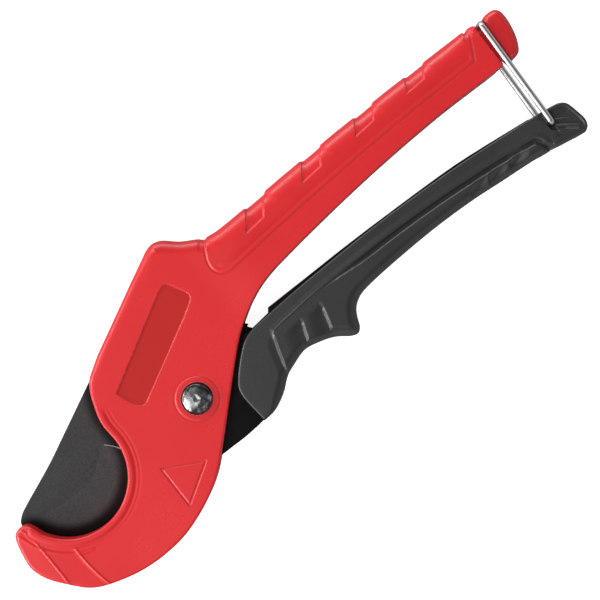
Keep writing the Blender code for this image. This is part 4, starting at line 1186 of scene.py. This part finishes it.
def grip_height(P, d, e, plain):
    x, y = P[:, 0], P[:, 1]
    full = LEVER_Z - 0.6 * ramp(60, 90, x) + 0.4 * ramp(110, 128, x)
    rise = 0.62 - 0.2 * ramp(60, 90, x)
    z = full - rise
    r, which, where, side = near_segments(P, TRIM, False)
    s = r * np.where(side > 0, 1.0, -1.0)       # positive on the back and front side of the trim line
    path = np.array(TRIM)
    along = path[which, 0] + where * (path[np.minimum(which + 1, len(path) - 1), 0] - path[which, 0])
    flat = ramp(27.9, 29.8, along)              # 0 on the steep step at the front, 1 on the slope along the back
    lower = ramp(0.3, -0.9, s)
    wide = 0.75 + 0.8 * flat
    climb = np.clip((-0.35 + 0.65 * flat + wide - s) / wide, 0, 1)
    z = z + rise * climb
    z -= 0.20 * ramp(2.8, 0.6, s) * (s > -0.3) * (1 - flat) * ramp(0.4, -2.0, y) * ramp(-0.35, 0.4, s)
    z += 0.06 * hump(s - 0.22, 0.26) * flat * ramp(56, 34, x)
    deep = 0.05 + 0.75 * ramp(44, 66, x)
    width = 0.30 + 0.80 * ramp(44, 66, x)
    z -= deep * hump(s + width * 0.9, width) * (x < 123.0) * flat
    z -= 0.3 * hump(s + 0.3, 0.9) * (x > 121.5)
    # finger steps: a scoop that ends in a wall facing the head
    for finger in FINGERS:
        rf, _, _, sf = near_segments(P, finger, False)
        # the head side of each line is its right-hand side when walking down it
        scoop = np.where(sf < 0, ramp(5.4, 0.3, rf), np.clip(0.95 - rf / 0.75, 0, 1))
        band = ramp(finger[0][1] + 0.9, finger[0][1] - 1.2, y)
        z -= 0.68 * scoop * band * lower * ramp(1.6, -0.4, y)
    # shallow scoops near the far end, each starting with a wall that faces away from the head
    for path in BACK_SCOOPS:
        rb, which, where, sb = near_segments(P, path, False)
        tail_side = sb > 0
        scoop = np.where(tail_side, ramp(5.6, 0.7, rb), ramp(0.7, 0.0, rb))
        band = ramp(path[0][1] + 0.6, path[0][1] - 1.6, y)
        z -= 1.05 * scoop * band * lower
    # the bail's leg swings over a sunk field with a low rim round it
    sunk = 7.95 - 0.34 * ramp(0.75, 1.2, d)
    z = z + (sunk - z) * ramp(-0.6, 0.05, signed(P, bail_sweep_room())) * (x > 127)
    for path, deep, half in TIP_GROOVES:
        z -= deep * hump(near_segments(P, path, False)[0], half)
    return z - e * (1.0 - 0.1 * ramp(2.0, 3.0, e)) * rim_drop(d, e, 2.0)


def bail_sweep_room():
    turn = -42.0
    side = polar(1.6, turn - 90)
    far = polar(14, turn)
    return ([(BAIL_X - 1.5, 6.0), (BAIL_X - 1.5, BAIL_Y)]
            + [p[:2] for p in arc(BAIL_X, BAIL_Y, 1.5, 180, 225, 10)]
            + [(BAIL_X + side[0], BAIL_Y + side[1]), (BAIL_X + side[0] + far[0], BAIL_Y + side[1] + far[1]),
               (150, -14), (150, 6)])


def grip_pocket():
    floor = [(125.0, -5.1), (114.0, -4.7), (100.0, -3.7), (80.0, -3.1), (60.0, -3.9), (40.0, -6.1), (33.4, -7.0),
             (31.6, -8.4)]
    return [(4, 14), (4, -26), (31.6, -26)] + floor[::-1] + [(125.0, 14)]


def make_grip(sign, node):
    spread = lambda *d: sorted(set(list(d) + [-v for v in d]))
    features = [(TRIM, False, (2.8, 2.2, 1.9, 1.6, 1.25, 0.9, 0.65, 0.4, 0.2, 0.0, -0.2, -0.36, -0.55, -0.75, -0.95, -1.2,
                               -1.45, -1.7, -2.0, -2.4), 0.5),
                (TIP_RIM, False, (-0.75, -0.95, -1.2), 0.4),
                (bail_sweep_room()[1:-2], False, (-0.6, -0.4, -0.2, 0.0), 0.25),
                ([(126.8, -5.4), (131.6, -5.4)], False, [0.28 * k for k in range(-9, 10)], 0.28)]
    features += [(path, False, spread(0.0, 0.45 * half, 0.9 * half), 0.3) for path, deep, half in TIP_GROOVES]
    features += [(f, False, spread(0.0, 0.12, 0.25, 0.5, 1.0, 1.7, 2.6), 0.45) for f in FINGERS]
    features += [(f, False, spread(0.0, 0.15, 0.3, 0.45, 0.8, 1.6), 0.45) for f in BACK_SCOOPS]
    grip = relief(f"{node}_moulding", GRIP_OUT, grip_edge, lambda P, d, e: grip_height(P, d, e, sign < 0), features,
                  0.03, sign, coarse=1.5)

    def away(tag, outline, depth, start=-1.0):
        z0, z1 = sorted((sign * start, sign * depth))
        cut(grip, prism(f"{node}_{tag}", outline, z0, z1))

    away("channel", grip_pocket(), 3.9)
    away("pin", circle(*DRIVE_PAWL, PIN_R + 0.12), 5.6, 3.0)
    away("bail_room", bail_sweep_room(), 14.0, 8.0)
    away("bail_hole", circle(BAIL_X, BAIL_Y, 1.15), 14.0, 4.8)
    for k, (x, y) in enumerate(GRIP_SCREWS):
        if sign > 0:
            away(f"screw_{k}", circle(x, y, 1.45), 6.6, 1.0)
        else:
            away(f"screw_{k}", circle(x, y, 1.45), 14.0, 1.0)
            away(f"screw_head_{k}", circle(x, y, 2.8), 14.0, 6.4)
    settle(grip)
    return piece(dress(grip, BLACK), "lever", "black_moulding", node)


make_grip(1, "lever_grip_front")
make_grip(-1, "lever_grip_rear")


# ---------------------------------------------------------------- pawls and their leaf springs
def turn_about(point, centre, degrees):
    c, s = math.cos(math.radians(degrees)), math.sin(math.radians(degrees))
    x, y = point[0] - centre[0], point[1] - centre[1]
    return (centre[0] + c * x - s * y, centre[1] + s * x + c * y)


def pawl_outline(centre, at, lift):
    eye = [(centre[0] + 2.4 * math.cos(math.radians(at + 20 - a)), centre[1] + 2.4 * math.sin(math.radians(at + 20 - a)))
           for a in range(0, 181, 10)]
    nose = at + 18.4
    inner = [polar(26.12, at + 5.0), polar(26.08, at + 9.0), polar(26.05, nose - 4.7), polar(25.12, nose - 0.1),
             polar(25.2, nose)]
    outer = [polar(27.3, nose), polar(27.6, nose - 0.6), polar(28.9, nose - 4.5), polar(30.3, nose - 10)]
    return [turn_about(p, centre, -lift) for p in eye + inner + outer]


def leaf_outline(at):
    outer = line([polar(35.1, at + 3.0), polar(34.9, at + 7.0), polar(34.2, at + 11.0), polar(33.1, at + 14.5),
                  polar(32.0, at + 17.0)])
    inner = line([polar(31.5, at + 16.8), polar(32.6, at + 14.2), polar(33.7, at + 10.8), polar(34.3, at + 7.2),
                  polar(34.1, at + 4.6)])
    return outer + inner + [polar(33.0, at + 4.4), polar(33.0, at + 3.6), polar(34.4, at + 3.1)]


for label, centre, at, body in (("drive_pawl", DRIVE_PAWL, -14.0, "lever"), ("holding_pawl", HOLDING_PAWL, 26.0, "root")):
    pawl = prism(f"{label}_ground", pawl_outline(centre, at, 8.0), -BLADE_Z, BLADE_Z, 0.15)
    cut(pawl, prism(f"{label}_eye", circle(*centre, PIN_R + 0.18), -3, 3))
    piece(dress(settle(pawl, 30), ZINC), label, "zinc_steel", label)
    piece(dress(prism(f"{label}_spring_leaf", leaf_outline(at), -1.2, 1.2, 0.08), SPRING), body, "spring_steel",
          f"{label}_spring")


# ---------------------------------------------------------------- wire bail
def rounded_path(corners, radius, count):
    points = [Vector(corners[0])]
    for a, b, c in zip(corners, corners[1:], corners[2:]):
        a, b, c = Vector(a), Vector(b), Vector(c)
        u, v = (a - b).normalized(), (c - b).normalized()
        half = u.angle(v) / 2
        back = radius / math.tan(half)
        centre = b + (u + v).normalized() * (radius / math.sin(half))
        start, end = b + u * back, b + v * back
        for i in range(count + 1):
            p = start.lerp(end, i / count) - centre
            points.append(centre + p.normalized() * radius)
    return points + [Vector(corners[-1])]


bail = rounded_path(
    [(BAIL_X, BAIL_Y, 5.4), (BAIL_X, BAIL_Y, 9.3), (130.9, 30.0, 9.3), (130.9, 30.0, -9.3), (BAIL_X, BAIL_Y, -9.3),
     (BAIL_X, BAIL_Y, -5.4)], 1.3, 12)
piece(dress(sweep("bail_wire", bail, 0.9, 32, False), CHROME), "bail", "chromed_wire", "bail")

# ---------------------------------------------------------------- stage
scene = bpy.context.scene
low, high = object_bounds()
middle = Vector((0.00560, -0.00432, 0.0))
turn = math.radians(40)
right = Vector((math.cos(turn), -math.sin(turn), 0))
up = Vector((math.sin(turn), math.cos(turn), 0))
back = Vector((0, 0, 1))

floor = bpy.data.objects.new("floor", bpy.data.meshes.new("floor"))
bm = bmesh.new()
bmesh.ops.create_grid(bm, x_segments=1, y_segments=1, size=3.0)
bm.to_mesh(floor.data)
bm.free()
floor.location = (0, 0, CAD_BOX[0][2] - 0.0002)
scene.collection.objects.link(floor)
g = Graph("pale_floor")
seen = g.tree.nodes.new("ShaderNodeLightPath").outputs["Is Camera Ray"]
g.use("Base Color", g.mix(seen, (0.42, 0.42, 0.42), g.mix(g.spread(g.noise(60.0), 0.0, 1.0), (0.86, 0.86, 0.86),
                                                         (0.84, 0.84, 0.84))))
g.use("Roughness", 0.9)
g.use("Specular IOR Level", 0.1)
g.use("Emission Color", (1.0, 1.0, 1.0))
g.use("Emission Strength", g.math("MULTIPLY", seen, 0.92))
dress(floor, g.material)

world = bpy.data.worlds.new("studio")
scene.world = world
world.use_nodes = True
tree = world.node_tree
background = tree.nodes["Background"]


def studio_light():
    """Soft band of light all round, above the horizon, brighter on one side; the ceiling over the camera is dim."""
    place = tree.nodes.new("ShaderNodeTexCoord")
    parts = tree.nodes.new("ShaderNodeSeparateXYZ")
    tree.links.new(place.outputs["Generated"], parts.inputs[0])
    ramp_node = tree.nodes.new("ShaderNodeValToRGB")
    stops = ramp_node.color_ramp.elements
    stops[0].position, stops[0].color = 0.0, (0.28, 0.28, 0.28, 1)
    stops[1].position, stops[1].color = 1.0, (ZENITH, ZENITH, ZENITH, 1)
    for position, level in ((0.05, 0.6), (0.12, 1.0), (0.50, 1.0), (0.66, ZENITH)):
        stop = stops.new(position)
        stop.color = (level, level, level, 1)
    tree.links.new(parts.outputs["Z"], ramp_node.inputs["Fac"])
    toward = right * LIGHT_SIDE[0] + up * LIGHT_SIDE[1]
    dot = tree.nodes.new("ShaderNodeVectorMath")
    dot.operation = "DOT_PRODUCT"
    tree.links.new(place.outputs["Generated"], dot.inputs[0])
    dot.inputs[1].default_value = tuple(toward)
    gain = tree.nodes.new("ShaderNodeMath")
    gain.operation = "MULTIPLY_ADD"
    tree.links.new(dot.outputs["Value"], gain.inputs[0])
    gain.inputs[1].default_value = SIDE_GAIN
    gain.inputs[2].default_value = 1.0
    total = tree.nodes.new("ShaderNodeMath")
    total.operation = "MULTIPLY"
    tree.links.new(ramp_node.outputs["Color"], total.inputs[0])
    tree.links.new(gain.outputs[0], total.inputs[1])
    # a small soft panel near the camera, which the polished bolt head mirrors
    panel = tree.nodes.new("ShaderNodeVectorMath")
    panel.operation = "DOT_PRODUCT"
    tree.links.new(place.outputs["Generated"], panel.inputs[0])
    panel.inputs[1].default_value = tuple((right * PANEL_AT[0] + up * PANEL_AT[1] + back).normalized())
    patch = tree.nodes.new("ShaderNodeMapRange")
    patch.interpolation_type = "SMOOTHSTEP"
    tree.links.new(panel.outputs["Value"], patch.inputs["Value"])
    patch.inputs["From Min"].default_value = math.cos(math.radians(32))
    patch.inputs["From Max"].default_value = math.cos(math.radians(19))
    patch.inputs["To Max"].default_value = PANEL_LIGHT
    summed = tree.nodes.new("ShaderNodeMath")
    summed.operation = "ADD"
    tree.links.new(total.outputs[0], summed.inputs[0])
    tree.links.new(patch.outputs["Result"], summed.inputs[1])
    scaled = tree.nodes.new("ShaderNodeMath")
    scaled.operation = "MULTIPLY"
    tree.links.new(summed.outputs[0], scaled.inputs[0])
    scaled.inputs[1].default_value = BAND_LIGHT
    tree.links.new(scaled.outputs[0], background.inputs["Strength"])
    background.inputs["Color"].default_value = (1, 1, 1, 1)


BAND_LIGHT, ZENITH, SIDE_GAIN, LIGHT_SIDE = 0.72, 0.14, 0.45, (-0.97, 0.22)
PANEL_AT, PANEL_LIGHT = (-0.50, -0.36), 1.15
studio_light()


def softbox(name, along_right, along_up, height, wide, tall, radiance, glossy=True):
    """Area light placed in the picture's own directions, facing the tool."""
    data = bpy.data.lights.new(name, "AREA")
    data.shape = "RECTANGLE"
    data.size, data.size_y = wide, tall
    data.energy = radiance * math.pi * wide * tall
    obj = bpy.data.objects.new(name, data)
    obj.location = middle + right * along_right + up * along_up + back * height
    obj.rotation_mode = "QUATERNION"
    obj.rotation_quaternion = (middle - obj.location).to_track_quat("-Z", "Y")
    obj.visible_glossy = glossy
    scene.collection.objects.link(obj)
    return obj


softbox("key", -0.05, -0.28, 0.75, 0.14, 0.14, 41.0, False)
softbox("left", -0.77, -0.20, 0.25, 1.10, 0.20, 8.0)
softbox("back", -0.28, 0.76, 0.26, 0.70, 0.20, 5.0)


camera = bpy.data.objects.new("camera", bpy.data.cameras.new("camera"))
camera.data.sensor_width = 36
camera.data.lens = 129.5
camera.data.clip_start, camera.data.clip_end = 0.01, 10
camera.rotation_mode = "QUATERNION"
camera.location = middle + back * 0.626
camera.rotation_quaternion = Matrix((right, up, back)).transposed().to_quaternion()
scene.collection.objects.link(camera)
scene.camera = camera
scene.view_settings.view_transform = "Standard"
